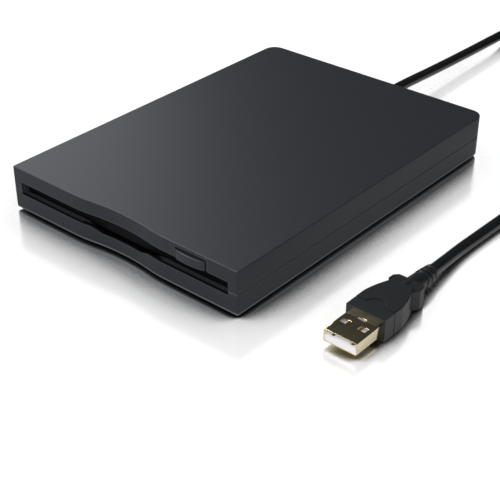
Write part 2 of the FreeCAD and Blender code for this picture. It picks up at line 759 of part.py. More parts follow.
def make_eject_button():
    """Moulded button with a face curved in plan, and a stem that grips the slide plate's tongue."""
    part = new_body("eject_button")
    low = d.slot_high + 0.05
    face = front_y - 0.05
    brow = front_y - d.button_proud + 0.25
    drawn = sketch_on(part, "XY_Plane", low)
    outline(drawn, (
        (d.button_left, face, 2.6), (d.button_left + 1.8, brow, 26.0),
        (d.button_right - 3.0, brow, 9.0), (d.button_right, face),
        (d.button_right, front_y + 2.15), (d.button_left, front_y + 2.15)))
    pad(part, drawn, d.button_high - low)
    round_edges(part, 0.35, lambda edge: level(edge, d.button_high) and edge.BoundBox.YMax < -69.0)
    drawn = sketch_on(part, "XY_Plane", d.bay_high + 2 * d.sheet + 0.55)
    rectangle(drawn, d.button_left + 1.5, d.button_right - 1.3, front_y + 2.05, -61.0)
    pad(part, drawn, 1.1)
    keep(part)


def make_dust_flap():
    """Flap behind the slot, hung on a round barrel whose ends turn in the bezel."""
    part = new_body("slot_flap")
    drawn = sketch_on(part, "XZ_Plane", d.flap_y - d.flap_thick / 2)
    rectangle(drawn, -1 * d.flap_half, d.flap_half, d.flap_low, d.flap_z)
    pad(part, drawn, d.flap_thick)
    drawn = sketch_on(part, "YZ_Plane", -48.4)
    circle(drawn, d.flap_y, d.flap_z, d.flap_thick / 2)
    pad(part, drawn, 96.8)
    keep(part)


def make_spindle_motor():
    """Flat outer-rotor motor: board, bearing, stator with its coils, cup with its magnet, hub and shaft."""
    board = new_body("motor_board")
    drawn = sketch_on(board, "XY_Plane", d.deck_high)
    outline(drawn, (
        (-45.5, -61.5), (45.5, -61.5), (45.5, -52.0), (24.0, -52.0), (24.0, 2.5),
        (-24.0, 2.5), (-24.0, -52.0), (-45.5, -52.0)))
    pad(board, drawn, 0.6)
    drawn = sketch_on(board, "XY_Plane", d.deck_high - 1.0)
    circle(drawn, 0.0, d.spindle_y, 3.6)
    pocket(board, drawn, 3.0)
    keep(board)

    bearing = new_body("spindle_bearing")
    drawn = sketch_on(bearing, "XY_Plane", d.deck_low)
    circle(drawn, 0.0, d.spindle_y, 3.5)
    circle(drawn, 0.0, d.spindle_y, d.shaft + d.run_gap)
    pad(bearing, drawn, 2.5)
    keep(bearing)

    # stator: a ring with T-shaped poles
    stator = new_body("stator_core")
    drawn = sketch_on(stator, "XY_Plane", 4.45)
    circle(drawn, 0.0, 0.0, 7.0)
    circle(drawn, 0.0, 0.0, 3.7)
    pad(stator, drawn, 0.6)
    drawn = sketch_on(stator, "XY_Plane", 4.45)
    outline(drawn, (
        (6.5, -0.8), (16.0, -0.8), (16.0, -3.4), (17.6, -3.8, 18.0), (17.6, 3.8), (16.0, 3.4),
        (16.0, 0.8), (6.5, 0.8)))
    pole = pad(stator, drawn, 0.6)
    ring = stator.newObject("PartDesign::PolarPattern", "stator_core_poles")
    ring.Originals = [pole]
    ring.Axis = (drawn, ["N_Axis"])
    ring.Angle = 360.0
    bind(ring, "Occurrences", d.poles)
    stator.Tip = ring
    bind(stator, "Placement.Base.y", d.spindle_y)
    keep(stator)

    coils = []
    for index in range(int(number(d.poles))):
        turn = Rotation(Vector(0, 0, 1), index * 360.0 / number(d.poles))
        outer = block("coil_outer_%d" % index, 8.6, 14.6, -1.7, 1.7, 4.15, 5.35)
        inner = block("coil_inner_%d" % index, 8.0, 15.0, -0.9, 0.9, 4.4, 5.1)
        coil = cut("stator_coil_%d" % index, outer, inner)
        coil.Placement = Placement(Vector(0, number(d.spindle_y), 0), turn)
        coils.append(coil)
    keep(group("stator_coils", *coils))

    # rotor cup, revolved about the spindle
    cup = new_body("spindle_rotor")
    drawn = sketch_on(cup, "XZ_Plane", d.spindle_y)
    outline(drawn, (
        (d.shaft, 5.5), (d.rotor_radius - 1.2, 5.5), (d.rotor_radius - 1.2, 4.3), (d.rotor_radius, 4.3),
        (d.rotor_radius, 5.6), (d.rotor_radius - 0.35, 5.95), (d.shaft, 5.95)))
    revolve(cup, drawn)
    drawn = sketch_on(cup, "XY_Plane", 5.0)
    for index in range(6):
        angle = math.radians(60.0 * index + 30.0)
        circle(drawn, 14.5 * math.cos(angle), d.spindle_y + 14.5 * math.sin(angle), 1.6)
    pocket(cup, drawn, 1.5)
    keep(cup)

    magnet = new_body("rotor_magnet")
    drawn = sketch_on(magnet, "XY_Plane", 4.3)
    circle(drawn, 0.0, d.spindle_y, d.rotor_radius - 1.2)
    circle(drawn, 0.0, d.spindle_y, d.rotor_radius - 2.2)
    pad(magnet, drawn, 1.2)
    keep(magnet)

    hub = new_body("spindle_hub")
    drawn = sketch_on(hub, "XZ_Plane", d.spindle_y)
    outline(drawn, (
        (d.shaft, 5.95), (10.5, 5.95), (10.5, 6.15), (10.2, 6.3), (9.2, 6.3), (9.0, 6.15), (d.shaft, 6.15)))
    revolve(hub, drawn)
    drawn = sketch_on(hub, "XY_Plane", 6.1)
    circle(drawn, 7.2, d.spindle_y, 0.9)
    pad(hub, drawn, 1.1)
    keep(hub)

    keep(bar("spindle_shaft", d.shaft, (0.0, d.spindle_y, d.deck_low + 0.2), 7.3 - 0.2 - d.deck_low))


def make_head_drive():
    """Carriage on its rod, driven along by a stepper motor's lead screw, with a hinged upper arm."""
    keep(bar("guide_rod", d.rod, (d.rod_x, 26.2, d.rod_z), 30.8, "Y"))
    clips = []
    for name, low, high in (("front", 26.4, 28.6), ("rear", 54.8, 56.8)):
        base = block("rod_block_" + name, d.rod_x - 2.4, d.rod_x + 2.5, low, high, d.deck_high, d.rod_z + 2.0)
        hole = bar("rod_hole_" + name, d.rod, (d.rod_x, low - 1.0, d.rod_z), 4.5, "Y")
        clips.append(cut("rod_clip_" + name, base, hole))
    keep(group("rod_clips", *clips))

    # U-shaped bracket with the screw's two bearings
    bracket = new_body("motor_bracket")
    drawn = sketch_on(bracket, "YZ_Plane", d.screw_x - 2.6)
    outline(drawn, (
        (25.4, d.deck_high), (50.0, d.deck_high), (50.0, 12.4), (49.3, 12.4), (49.3, d.deck_high + 0.6),
        (26.2, d.deck_high + 0.6), (26.2, 10.6), (25.4, 10.6)))
    pad(bracket, drawn, 5.2)
    drawn = sketch_on(bracket, "XZ_Plane", 25.0)
    circle(drawn, d.screw_x, d.screw_z, 1.05)
    pocket(bracket, drawn, 2.0)
    drawn = sketch_on(bracket, "XZ_Plane", 49.0)
    circle(drawn, d.screw_x, d.screw_z, 1.8)
    pocket(bracket, drawn, 2.0)
    keep(bracket)

    can = new_body("stepper_motor")
    drawn = sketch_on(can, "XZ_Plane", 50.0)
    circle(drawn, d.screw_x, d.screw_z, d.stepper)
    circle(drawn, d.screw_x, d.screw_z, 1.05)
    pad(can, drawn, 2.6)
    drawn = sketch_on(can, "XZ_Plane", 52.5)
    circle(drawn, d.screw_x, d.screw_z, d.stepper)
    pad(can, drawn, 6.0)
    round_edges(can, 0.5, lambda edge: edge.BoundBox.YMin > 58.4 and edge.BoundBox.YMax > 58.4)
    keep(can)

    keep(fuse(
        "lead_screw",
        bar("screw_thread", d.screw, (d.screw_x, 26.5, d.screw_z), 22.5, "Y"),
        bar("screw_journal", 1.0, (d.screw_x, 25.3, d.screw_z), 27.0, "Y")))

    # carriage: a block on the rod, a slim lower arm under the disk, a side arm to the screw
    carriage = new_body("head_carriage")
    drawn = sketch_on(carriage, "XY_Plane", 4.0)
    outline(drawn, (
        (-3.6, 16.0), (3.2, 16.0), (3.2, d.carriage_front), (10.3, d.carriage_front),
        (10.3, d.carriage_rear), (-12.0, d.carriage_rear), (-12.0, d.carriage_front),
        (-3.6, d.carriage_front)))
    pad(carriage, drawn, 1.5)
    drawn = sketch_on(carriage, "XY_Plane", 5.4)
    rectangle(drawn, -12.0, 10.3, d.carriage_front, d.carriage_rear)
    pad(carriage, drawn, 5.6)
    drawn = sketch_on(carriage, "XY_Plane", 6.6)
    rectangle(drawn, d.screw_x + d.screw + 0.15, -11.5, d.carriage_front + 1.2, d.carriage_front + 4.6)
    pad(carriage, drawn, 3.0)
    # ears for the upper arm's pin
    drawn = sketch_on(carriage, "XY_Plane", 10.9)
    for side in mirror_sides:
        rectangle(drawn, side * 5.9, side * 7.3, d.arm_pivot_y - 1.5, d.arm_pivot_y + 1.5)
    pad(carriage, drawn, d.arm_pivot_z + 1.1 - 10.9)
    drawn = sketch_on(carriage, "YZ_Plane", -8.0)
    circle(drawn, d.arm_pivot_y, d.arm_pivot_z, 0.6)
    pocket(carriage, drawn, 16.0)
    drawn = sketch_on(carriage, "XZ_Plane", d.carriage_front - 1.0)
    circle(drawn, d.rod_x, d.rod_z, d.rod + d.run_gap)
    pocket(carriage, drawn, 12.0)
    keep(carriage)
    keep(fuse(
        "lower_head",
        block("lower_head_base", -3.1, 3.1, d.head_y - 3.2, d.head_y + 3.2, 5.5, 6.5),
        block("lower_head_slider", -1.8, 1.8, d.head_y - 2.2, d.head_y + 2.2, 6.4, 7.2)))
    keep(bar("arm_pin", 0.6, (-7.3, d.arm_pivot_y, d.arm_pivot_z), 14.6, "X"))

    arm = new_body("head_arm")
    drawn = sketch_on(arm, "XY_Plane", 12.6)
    outline(drawn, (
        (-3.6, 15.0), (3.6, 15.0), (4.2, 24.0), (5.5, 34.0), (5.5, 50.0), (-5.5, 50.0), (-5.5, 34.0),
        (-4.2, 24.0)))
    pad(arm, drawn, 0.8)
    drawn = sketch_on(arm, "YZ_Plane", -5.5)
    circle(drawn, d.arm_pivot_y, d.arm_pivot_z, 1.1)
    pad(arm, drawn, 11.0)
    drawn = sketch_on(arm, "YZ_Plane", -8.0)
    circle(drawn, d.arm_pivot_y, d.arm_pivot_z, 0.6 + d.run_gap)
    pocket(arm, drawn, 16.0)
    drawn = sketch_on(arm, "XY_Plane", 12.0)
    rectangle(drawn, -2.6, 2.6, 27.0, 42.0)
    pocket(arm, drawn, 2.0)
    keep(arm)
    keep(block("upper_head", -3.1, 3.1, d.head_y - 3.2, d.head_y + 3.2, 11.98, 12.6))


def make_shutter_lever():
    """Lever in the disk's path: the disk pushes it back, and it opens the disk's shutter as it swings."""
    lever = new_body("shutter_lever")
    drawn = sketch_on(lever, "XY_Plane", d.lever_low)
    circle(drawn, d.lever_x, d.lever_y, 3.2)
    pad(lever, drawn, d.lever_high - d.lever_low)
    # the arm narrows from the hub to the tip
    along = Vector(number(d.tip_x) - number(d.lever_x), number(d.tip_y) - number(d.lever_y), 0).normalize()
    across = (-along.y, along.x)
    drawn = sketch_on(lever, "XY_Plane", d.lever_low)
    outline(drawn, (
        (d.lever_x + 2.6 * across[0], d.lever_y + 2.6 * across[1]),
        (d.tip_x + 1.5 * across[0], d.tip_y + 1.5 * across[1]),
        (d.tip_x - 1.5 * across[0], d.tip_y - 1.5 * across[1]),
        (d.lever_x - 2.6 * across[0], d.lever_y - 2.6 * across[1])))
    pad(lever, drawn, d.lever_high - d.lever_low)
    drawn = sketch_on(lever, "XY_Plane", d.lever_low)
    circle(drawn, d.tip_x, d.tip_y, 1.6)
    pad(lever, drawn, d.lever_high - d.lever_low)
    drawn = sketch_on(lever, "XY_Plane", d.lever_low - 1.0)
    circle(drawn, d.lever_x, d.lever_y, 1.5 + d.run_gap)
    pocket(lever, drawn, 4.0)
    keep(lever)

    post = new_body("lever_post")
    drawn = sketch_on(post, "XY_Plane", d.deck_high)
    circle(drawn, d.lever_x, d.lever_y, 2.2)
    pad(post, drawn, d.lever_low - d.deck_high - 0.05)
    drawn = sketch_on(post, "XY_Plane", d.lever_low - 0.2)
    circle(drawn, d.lever_x, d.lever_y, 1.5)
    pad(post, drawn, d.lever_high - d.lever_low + 0.25)
    drawn = sketch_on(post, "XY_Plane", d.lever_high + 0.05)
    circle(drawn, d.lever_x, d.lever_y, 2.4)
    pad(post, drawn, 0.5)
    keep(post)

    coil = bar("lever_coil", 3.1, (d.lever_x, d.lever_y, 4.6), 2.9)
    bore = bar("lever_coil_bore", 2.5, (d.lever_x, d.lever_y, 4.0), 4.0)
    leg = block("lever_spring_leg", d.lever_x - 9.0, d.lever_x, d.lever_y + 2.6, d.lever_y + 3.1, 4.6, 5.1)
    keep(cut("lever_spring", fuse("lever_spring_wire", coil, leg), bore))


def make_sensors():
    """Three push switches: write protect, density and disk present, each with its sprung plunger."""
    places = (("write_protect", -1 * d.sensor_x), ("density", d.sensor_x), ("disk_present", d.disk_sensor_x))
    bodies = []
    for name, across in places:
        base = block("switch_%s_base" % name, across - 2.4, across + 2.4,
                     d.sensor_y - 2.4, d.sensor_y + 2.4, 4.0, 5.4)
        hole = bar("switch_%s_hole" % name, d.plunger + d.run_gap, (across, d.sensor_y, 4.2), 3.0)
        bodies.append(cut("switch_%s" % name, base, hole))
        keep(bar("plunger_%s" % name, d.plunger, (across, d.sensor_y, 5.0), 1.3))
    keep(group("switch_bodies", *bodies))


def make_interface_board():
    """Board across the back that turns the mechanism's signals into USB, with its parts and connectors."""
    board = new_body("main_board")
    drawn = sketch_on(board, "XY_Plane", d.board_low)
    rectangle(drawn, -1 * d.board_half, d.board_half, d.board_front, d.board_rear)
    pad(board, drawn, d.board_high - d.board_low)
    keep(board)

    chips = [
        block("controller_chip", -20.5, -11.5, d.board_front + 0.6, d.board_rear - 0.4, d.board_high,
              d.board_high + 1.4),
        block("memory_chip", 17.0, 22.0, d.board_front + 2.0, d.board_front + 6.0, d.board_high,
              d.board_high + 1.5),
        block("driver_chip", -34.0, -27.0, d.board_front + 2.0, d.board_front + 7.0, d.board_high,
              d.board_high + 1.6)]
    keep(group("board_chips", *chips))
    keep(group("board_capacitors", *[
        bar("capacitor_%d" % index, 1.6, (26.5 + 4.4 * index, d.board_front + 5.0, d.board_high), 4.6)
        for index in range(3)]))
    keep(block("crystal_can", 10.5, 14.5, d.board_front + 1.5, d.board_front + 5.5, d.board_high,
               d.board_high + 2.6))

    # flat cable from the carriage, which folds as the carriage moves, and its connector
    strip = new_body("head_flex")
    drawn = sketch_on(strip, "YZ_Plane", -6.5)
    rear = d.carriage_rear
    outline(drawn, (
        (rear, 9.3), (rear, 9.0), (rear + 3.5, 9.0), (rear + 4.2, 8.3), (rear + 4.2, 6.3),
        (rear + 4.9, 5.6), (61.0, 5.6), (61.0, 5.9), (rear + 5.0, 5.9), (rear + 4.5, 6.4),
        (rear + 4.5, 8.4), (rear + 3.6, 9.3)))
    pad(strip, drawn, 8.0)
    keep(strip)
    keep(block("flex_connector", -7.5, 2.5, 61.0, 63.4, d.board_high, d.board_high + 1.8))


# ---------------------------------------------------------------- lead and plug

def make_cord_grip():
    """Strain relief moulded on the lead: a flange inside, a groove held by both covers, a ribbed tail."""
    part = new_body("cord_grip")
    root = d.grip - 0.5
    inside = inner_rear - 0.1
    outside = rear_y + 0.1
    end = rear_y + d.grip_length
    drawn = sketch_on(part, "YZ_Plane", d.cord_x)
    axis = d.parting_height
    bore = axis + d.cord
    profile = [
        (inside - 1.2, bore), (end, bore), (end, axis + 2.5), (end - 1.0, axis + 2.55),
        (end - 1.0, axis + 2.35), (end - 1.8, axis + 2.35), (end - 1.8, axis + 2.7),
        (end - 3.0, axis + 2.8), (end - 3.0, axis + 2.5), (end - 3.8, axis + 2.5),
        (end - 3.8, axis + 2.9), (end - 5.0, axis + 3.0), (end - 5.0, axis + 2.7),
        (end - 5.8, axis + 2.7), (end - 5.8, axis + 3.1), (outside, axis + d.grip),
        (outside, axis + root), (inside, axis + root), (inside, axis + d.grip + 0.3),
        (inside - 1.2, axis + d.grip + 0.3)]
    outline(drawn, profile)
    line = drawn.addGeometry(Part.LineSegment(Vector(0, number(axis), 0), Vector(50, number(axis), 0)), True)
    pin_point(drawn, line, 1, 0.0, axis)
    pin_point(drawn, line, 2, 50.0, axis)
    revolve(part, drawn, "Axis0")
    keep(part)

    inner = bar("inner_lead", d.cord, (d.cord_x, 66.0, d.parting_height), inside - 66.0 - 1.2, "Y")
    keep(inner)
    keep(block("lead_connector", d.cord_x - 3.0, d.cord_x + 3.0, 63.8, 66.0, d.board_high,
               d.parting_height + 2.2))


def route_wire(points):
    """Straight runs joined by tangent arcs, each as large as its two runs allow."""
    places = [Vector(*[number(part) for part in point]) for point in points]
    edges = []
    radii = []
    here = places[0]
    for before, corner, after in zip(places, places[1:], places[2:]):
        back = (before - corner)
        onward = (after - corner)
        shorter = min(back.Length, onward.Length)
        back.normalize()
        onward.normalize()
        turn = math.pi - back.getAngle(onward)
        set_back = 0.45 * shorter
        radii.append(set_back / math.tan(turn / 2))
        start = corner + back * set_back
        end = corner + onward * set_back
        inward = (back + onward).normalize()
        centre_reach = radii[-1] / math.cos(turn / 2)
        through = corner + inward * (centre_reach - radii[-1])
        edges.append(Part.LineSegment(here, start).toShape())
        edges.append(Part.Arc(start, through, end).toShape())
        here = end
    edges.append(Part.LineSegment(here, places[-1]).toShape())
    return Part.Wire(edges), radii


def make_tube(label, points):
    """A length of the lead along its route."""
    wire, radii = route_wire(points)
    first = wire.Edges[0]
    start = first.valueAt(first.FirstParameter)
    heading = first.tangentAt(first.FirstParameter)
    ring = Part.Wire([Part.Circle(start, heading, number(d.cord)).toShape()])
    tube = wire.makePipeShell([ring], True, False)
    solid = tube if isinstance(tube, Part.Solid) else Part.Solid(tube)
    expected = math.pi * number(d.cord) ** 2 * wire.Length
    print("%s: length %.1f, volume %.1f of %.1f, radii %s" % (
        label, wire.Length, solid.Volume, expected, " ".join("%.0f" % radius for radius in radii)))
    if abs(solid.Volume - expected) > 0.02 * expected:
        raise ValueError("the tube %s is not its section times its length" % label)
    item = doc.addObject("Part::Feature", label)
    item.Label = label
    item.Shape = solid
    keep(item)


def make_lead():
    """The lead from the grip to the coil, the coil, and the lead from the coil to the plug."""
    left = d.coil_x - d.coil_turn
    right = d.coil_x + d.coil_turn
    lay = d.cord
    make_tube("lead_rear", (
        (d.cord_x, rear_y + d.grip_length, d.parting_height),
        (d.cord_x, 92.0, 8.1),
        (d.cord_x, 134.4, 6.3),
        (2.9, 168.0, 5.4),
        (1.0, 182.0, 3.4),
        (left, 193.0, lay),
        (left, d.coil_y, lay)))
    make_tube("lead_front", (
        (right, d.coil_y, 3 * d.cord),
        (44.2, 186.0, 5.4),
        (46.5, 163.0, lay),
        (54.5, 132.0, lay),
        (66.0, 103.0, lay),
        (79.0, 74.0, lay),
        (84.8, 46.0, lay),
        (84.2, 24.0, lay),
        (83.5, 5.0, lay),
        (84.5, -5.2, 3.3),
        (d.plug_x, d.neck_rear, d.plug_z)))

    coil = new_body("lead_coil")
    drawn = sketch_on(coil, "XZ_Plane", d.coil_y)
    outer = d.coil_turn + d.cord
    inner = d.coil_turn - 3 * d.cord
    outline(drawn, (
        (inner + 0.8, 0.0), (outer - 0.8, 0.0), (outer, 0.8), (outer, 3 * d.cord),
        (outer - 1.6, 4 * d.cord), (inner + 1.6, 4 * d.cord), (inner, 3 * d.cord), (inner, 0.8)))
    revolve(coil, drawn)
    bind(coil, "Placement.Base.x", d.coil_x)
    keep(coil)


def make_plug():
    """USB-A plug: moulded grip with a ribbed neck, folded shell, white tongue and four contacts."""
    grip = new_body("plug_body")
    drawn = sketch_on(grip, "XY_Plane", 0.0)
    half = d.plug_half
    left = []
    right = []
    for station, width in ((d.plug_face, half), (-42.5, half)):
        left.append((d.plug_x - width, station))
        right.append((d.plug_x + width, station))
    outline(drawn, (
        left[0], right[0],
        (right[1][0], right[1][1], 34.0), (d.plug_x + d.plug_waist, -33.2),
        (d.plug_x + d.plug_waist - 0.8, -31.6), (d.plug_x - d.plug_waist + 0.8, -31.6),
        (d.plug_x - d.plug_waist, -33.2, 34.0), left[1]))
    pad(grip, drawn, d.plug_height)
    round_edges(grip, 0.4, lambda edge: level(edge, d.plug_height) or level(edge, 0.0))
    # an ear on each side where the grip meets its neck
    drawn = sketch_on(grip, "XY_Plane", 0.5)
    outline(drawn, (
        (d.plug_x - 4.2, -33.6), (d.plug_x + 4.2, -33.6), (d.plug_x + 5.9, -30.9),
        (d.plug_x + 5.8, -28.5), (d.plug_x + 4.4, -27.1), (d.plug_x - 4.4, -27.1),
        (d.plug_x - 5.8, -28.5), (d.plug_x - 5.9, -30.9)))
    pad(grip, drawn, d.plug_height - 1.5)
    # seam round the grip, and a recess in its top with an arched border
    drawn = sketch_on(grip, "XZ_Plane", d.plug_seam)
    outline(drawn, (
        (d.plug_x - 9.0, -1.0), (d.plug_x + 9.0, -1.0), (d.plug_x + 9.0, 9.5), (d.plug_x - 9.0, 9.5)))
    outline(drawn, (
        (d.plug_x - half + 0.25, 0.25), (d.plug_x + half - 0.25, 0.25),
        (d.plug_x + half - 0.25, d.plug_height + 0.5), (d.plug_x - half + 0.25, d.plug_height + 0.5)))
    pocket(grip, drawn, 0.3)
    drawn = sketch_on(grip, "XY_Plane", d.plug_height - 0.3)
    outline(drawn, (
        (d.plug_x - 9.0, d.plug_face - 1.0), (d.plug_x + 9.0, d.plug_face - 1.0),
        (d.plug_x + 9.0, -46.2), (d.plug_x + 3.4, -46.2, 3.45), (d.plug_x - 3.4, -46.2),
        (d.plug_x - 9.0, -46.2)))
    pocket(grip, drawn, 1.0)
    # neck with three ribs
    drawn = sketch_on(grip, "YZ_Plane", d.plug_x)
    axis = d.plug_z
    end = d.neck_rear
    outline(drawn, (
        (-32.6, axis), (end, axis), (end, axis + 2.5), (end - 1.0, axis + 2.65), (end - 1.3, axis + 2.35),
        (end - 1.9, axis + 2.35), (end - 2.2, axis + 2.75), (end - 3.4, axis + 2.85), (end - 3.7, axis + 2.4),
        (end - 4.3, axis + 2.4), (end - 4.6, axis + 2.95), (end - 5.8, axis + 3.0), (end - 6.1, axis + 2.6),
        (end - 6.7, axis + 2.6), (end - 7.0, axis + d.neck), (-29.0, axis + d.neck + 0.4),
        (-32.6, axis + d.neck + 0.65)))
    line = drawn.addGeometry(Part.LineSegment(Vector(-40, number(axis), 0), Vector(0, number(axis), 0)), True)
    pin_point(drawn, line, 1, -40.0, axis)
    pin_point(drawn, line, 2, 0.0, axis)
    revolve(grip, drawn, "Axis0")
    # seat for the shell
    drawn = sketch_on(grip, "XZ_Plane", d.plug_face - 1.0)
    shell_z = d.plug_z - 0.1
    wide = d.usb_width / 2
    tall = d.usb_height / 2
    rectangle(drawn, d.plug_x - wide, d.plug_x + wide, shell_z - tall, shell_z + tall)
    pocket(grip, drawn, 6.0)
    keep(grip)

    shell = new_body("plug_shell")
    drawn = sketch_on(shell, "XZ_Plane", d.usb_front)
    rectangle(drawn, d.plug_x - wide, d.plug_x + wide, shell_z - tall, shell_z + tall)
    pad(shell, drawn, d.plug_face + 5.0 - d.usb_front)
    round_edges(shell, 0.45, lambda edge: edge.BoundBox.YLength > 5.0)
    drawn = sketch_on(shell, "XZ_Plane", d.usb_front - 1.0)
    thin = d.usb_sheet
    rectangle(drawn, d.plug_x - wide + thin, d.plug_x + wide - thin, shell_z - tall + thin, shell_z + tall - thin)
    pocket(shell, drawn, d.plug_face + 7.0 - d.usb_front)
    drawn = sketch_on(shell, "XY_Plane", -1.0)
    for side in mirror_sides:
        rectangle(drawn, d.plug_x + side * 1.65, d.plug_x + side * 4.6, -58.1, -56.0)
    pocket(shell, drawn, 10.0)
    drawn = sketch_on(shell, "XY_Plane", shell_z)
    rectangle(drawn, d.plug_x - 1.5, d.plug_x + 1.5, -53.6, -52.7)
    pocket(shell, drawn, 5.0)
    keep(shell)

    inside = wide - thin
    tongue = new_body("plug_insert")
    drawn = sketch_on(tongue, "XZ_Plane", d.usb_front + 0.3)
    rectangle(drawn, d.plug_x - inside, d.plug_x + inside, shell_z - tall + thin, shell_z - tall + thin + 1.85)
    pad(tongue, drawn, d.plug_face + 5.0 - d.usb_front - 0.3)
    drawn = sketch_on(tongue, "XZ_Plane", d.plug_face - 0.5)
    rectangle(drawn, d.plug_x - inside, d.plug_x + inside, shell_z - tall + thin, shell_z + tall - thin)
    pad(tongue, drawn, 5.5)
    keep(tongue)

    rows = []
    top = shell_z - tall + thin + 1.85
    for index, (across, back) in enumerate(((-3.5, 1.2), (-1.0, 2.4), (1.0, 2.4), (3.5, 1.2))):
        rows.append(block("contact_%d" % index, d.plug_x + across - 0.5, d.plug_x + across + 0.5,
                          d.usb_front + back, d.plug_face - 0.5, top, top + 0.15))
    keep(group("plug_contacts", *rows))


# ---------------------------------------------------------------- build, check, write

make_top_cover()
make_bottom_cover()
make_slot_bezel()
make_feet_and_screws()
make_led_lens()
make_chassis_deck()
make_drive_lid()
make_disk_cradle()
make_slide_plate()
make_slide_springs()
make_eject_button()
make_dust_flap()
make_spindle_motor()
make_head_drive()
make_shutter_lever()
make_sensors()
make_interface_board()
make_cord_grip()
make_lead()
make_plug()
doc.recompute()

for item in doc.Objects:
    if "Invalid" in item.State or "Error" in item.State:
        raise ValueError("%s did not compute: %s" % (item.Name, item.State))

os.makedirs("parts", exist_ok=True)
for part in subparts:
    shape = part.Shape
    if shape.isNull() or not shape.isValid() or not shape.Solids:
        raise ValueError("%s has no valid solid" % part.Label)
    shape.exportStep(os.path.join("parts", part.Label + ".step"))
    print("%-20s %d solid(s), %.1f mm3" % (part.Label, len(shape.Solids), shape.Volume))
print("%d sub-parts" % len(subparts))
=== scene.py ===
import math

import bmesh
import bpy
from mathutils import Matrix, Vector


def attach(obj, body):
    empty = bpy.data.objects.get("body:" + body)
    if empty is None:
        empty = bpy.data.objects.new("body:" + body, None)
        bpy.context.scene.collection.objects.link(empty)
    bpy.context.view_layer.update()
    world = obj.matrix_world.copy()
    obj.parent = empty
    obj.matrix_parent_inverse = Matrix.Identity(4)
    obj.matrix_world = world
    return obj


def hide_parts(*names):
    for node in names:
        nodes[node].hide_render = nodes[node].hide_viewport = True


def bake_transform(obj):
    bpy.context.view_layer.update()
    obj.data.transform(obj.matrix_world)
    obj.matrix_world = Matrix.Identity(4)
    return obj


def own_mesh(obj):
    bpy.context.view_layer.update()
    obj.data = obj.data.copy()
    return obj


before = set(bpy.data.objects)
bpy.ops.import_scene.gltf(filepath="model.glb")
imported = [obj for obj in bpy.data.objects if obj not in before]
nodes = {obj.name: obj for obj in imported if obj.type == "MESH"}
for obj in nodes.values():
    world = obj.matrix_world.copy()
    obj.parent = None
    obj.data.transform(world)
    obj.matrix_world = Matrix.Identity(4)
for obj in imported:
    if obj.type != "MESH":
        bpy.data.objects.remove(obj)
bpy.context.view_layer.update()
MM = 0.001


# ---- Camera: a product shot from the front right, a long lens a forearm's length away.
# Made first, with the lead, because the lead's hidden loops have to lie outside its view.
lens_target = Vector((29.67, -39.06, 0.8)) * MM
lens_distance = 383.2 * MM
turn_right = math.radians(40.416)
look_down = math.radians(32.479)
to_camera = Vector((
    math.sin(turn_right) * math.cos(look_down),
    -math.cos(turn_right) * math.cos(look_down),
    math.sin(look_down)))
bpy.ops.object.camera_add(location=lens_target + to_camera * lens_distance)
camera = bpy.context.object
camera.name = "product_camera"
camera.rotation_mode = "QUATERNION"
camera.rotation_quaternion = (-to_camera).to_track_quat("-Z", "Y")
camera.data.sensor_width = 36.0
camera.data.lens = 83.10
camera.data.clip_start = 0.01
camera.data.clip_end = 20.0
bpy.context.scene.camera = camera


# ---- Lead: a round two-pair USB cord, 4.1 mm over its smooth black PVC jacket, fixed in the drive.
# Extruded in one length: it lies on the table behind the drive, in three and a half turns out of
# view, and comes forward to its plug.
LEAD_RADIUS = 2.05
REAR_RUN = (
    (3.0, 79.5, 8.5), (3.0, 92.0, 8.2), (3.0, 112.0, 7.1), (3.0, 134.4, 6.3), (2.95, 151.4, 5.8),
    (2.9, 168.0, 5.4), (1.0, 182.0, 3.4))
FRONT_RUN = (
    (44.2, 186.0, 5.4), (46.5, 163.0, 2.05), (54.5, 132.0, 2.05), (66.0, 103.0, 2.05),
    (79.0, 74.0, 2.05), (84.8, 46.0, 2.05), (84.2, 24.0, 2.05), (83.5, 5.0, 2.05),
    (84.5, -6.5, 3.2), (85.1, -15.2, 4.1))
COIL_CENTRE = (20.8, 204.0)
COIL_TURNS = 3.5
POINTS_PER_TURN = 16
# turns made, radius and height of the cord: outer turn, inner turn, inner on top, outer on top
COIL_SHAPE = (
    (0.0, 23.0, 2.05), (0.78, 23.0, 2.05), (1.0, 18.9, 2.05), (1.7, 18.9, 2.05),
    (1.9, 18.9, 5.75), (2.0, 18.9, 6.15), (2.6, 18.9, 6.15), (2.8, 22.8, 6.15), (3.5, 23.0, 6.15))


def coil_place(turns):
    """Radius and height of the cord after so many turns of the coil."""
    for (t0, r0, z0), (t1, r1, z1) in zip(COIL_SHAPE, COIL_SHAPE[1:]):
        if turns <= t1:
            part = (turns - t0) / (t1 - t0)
            return r0 + (r1 - r0) * part, z0 + (z1 - z0) * part
    return COIL_SHAPE[-1][1:]


coil_run = []
# the spline cuts inside its control points, so they stand a little further out
outward = 1.0 / (0.25 + 0.75 * math.cos(2 * math.pi / POINTS_PER_TURN))
for step in range(int(COIL_TURNS * POINTS_PER_TURN) + 1):
    made = step / POINTS_PER_TURN
    radius, height = coil_place(made)
    angle = math.pi - made * 2 * math.pi
    coil_run.append((
        COIL_CENTRE[0] + radius * outward * math.cos(angle),
        COIL_CENTRE[1] + radius * outward * math.sin(angle),
        height))

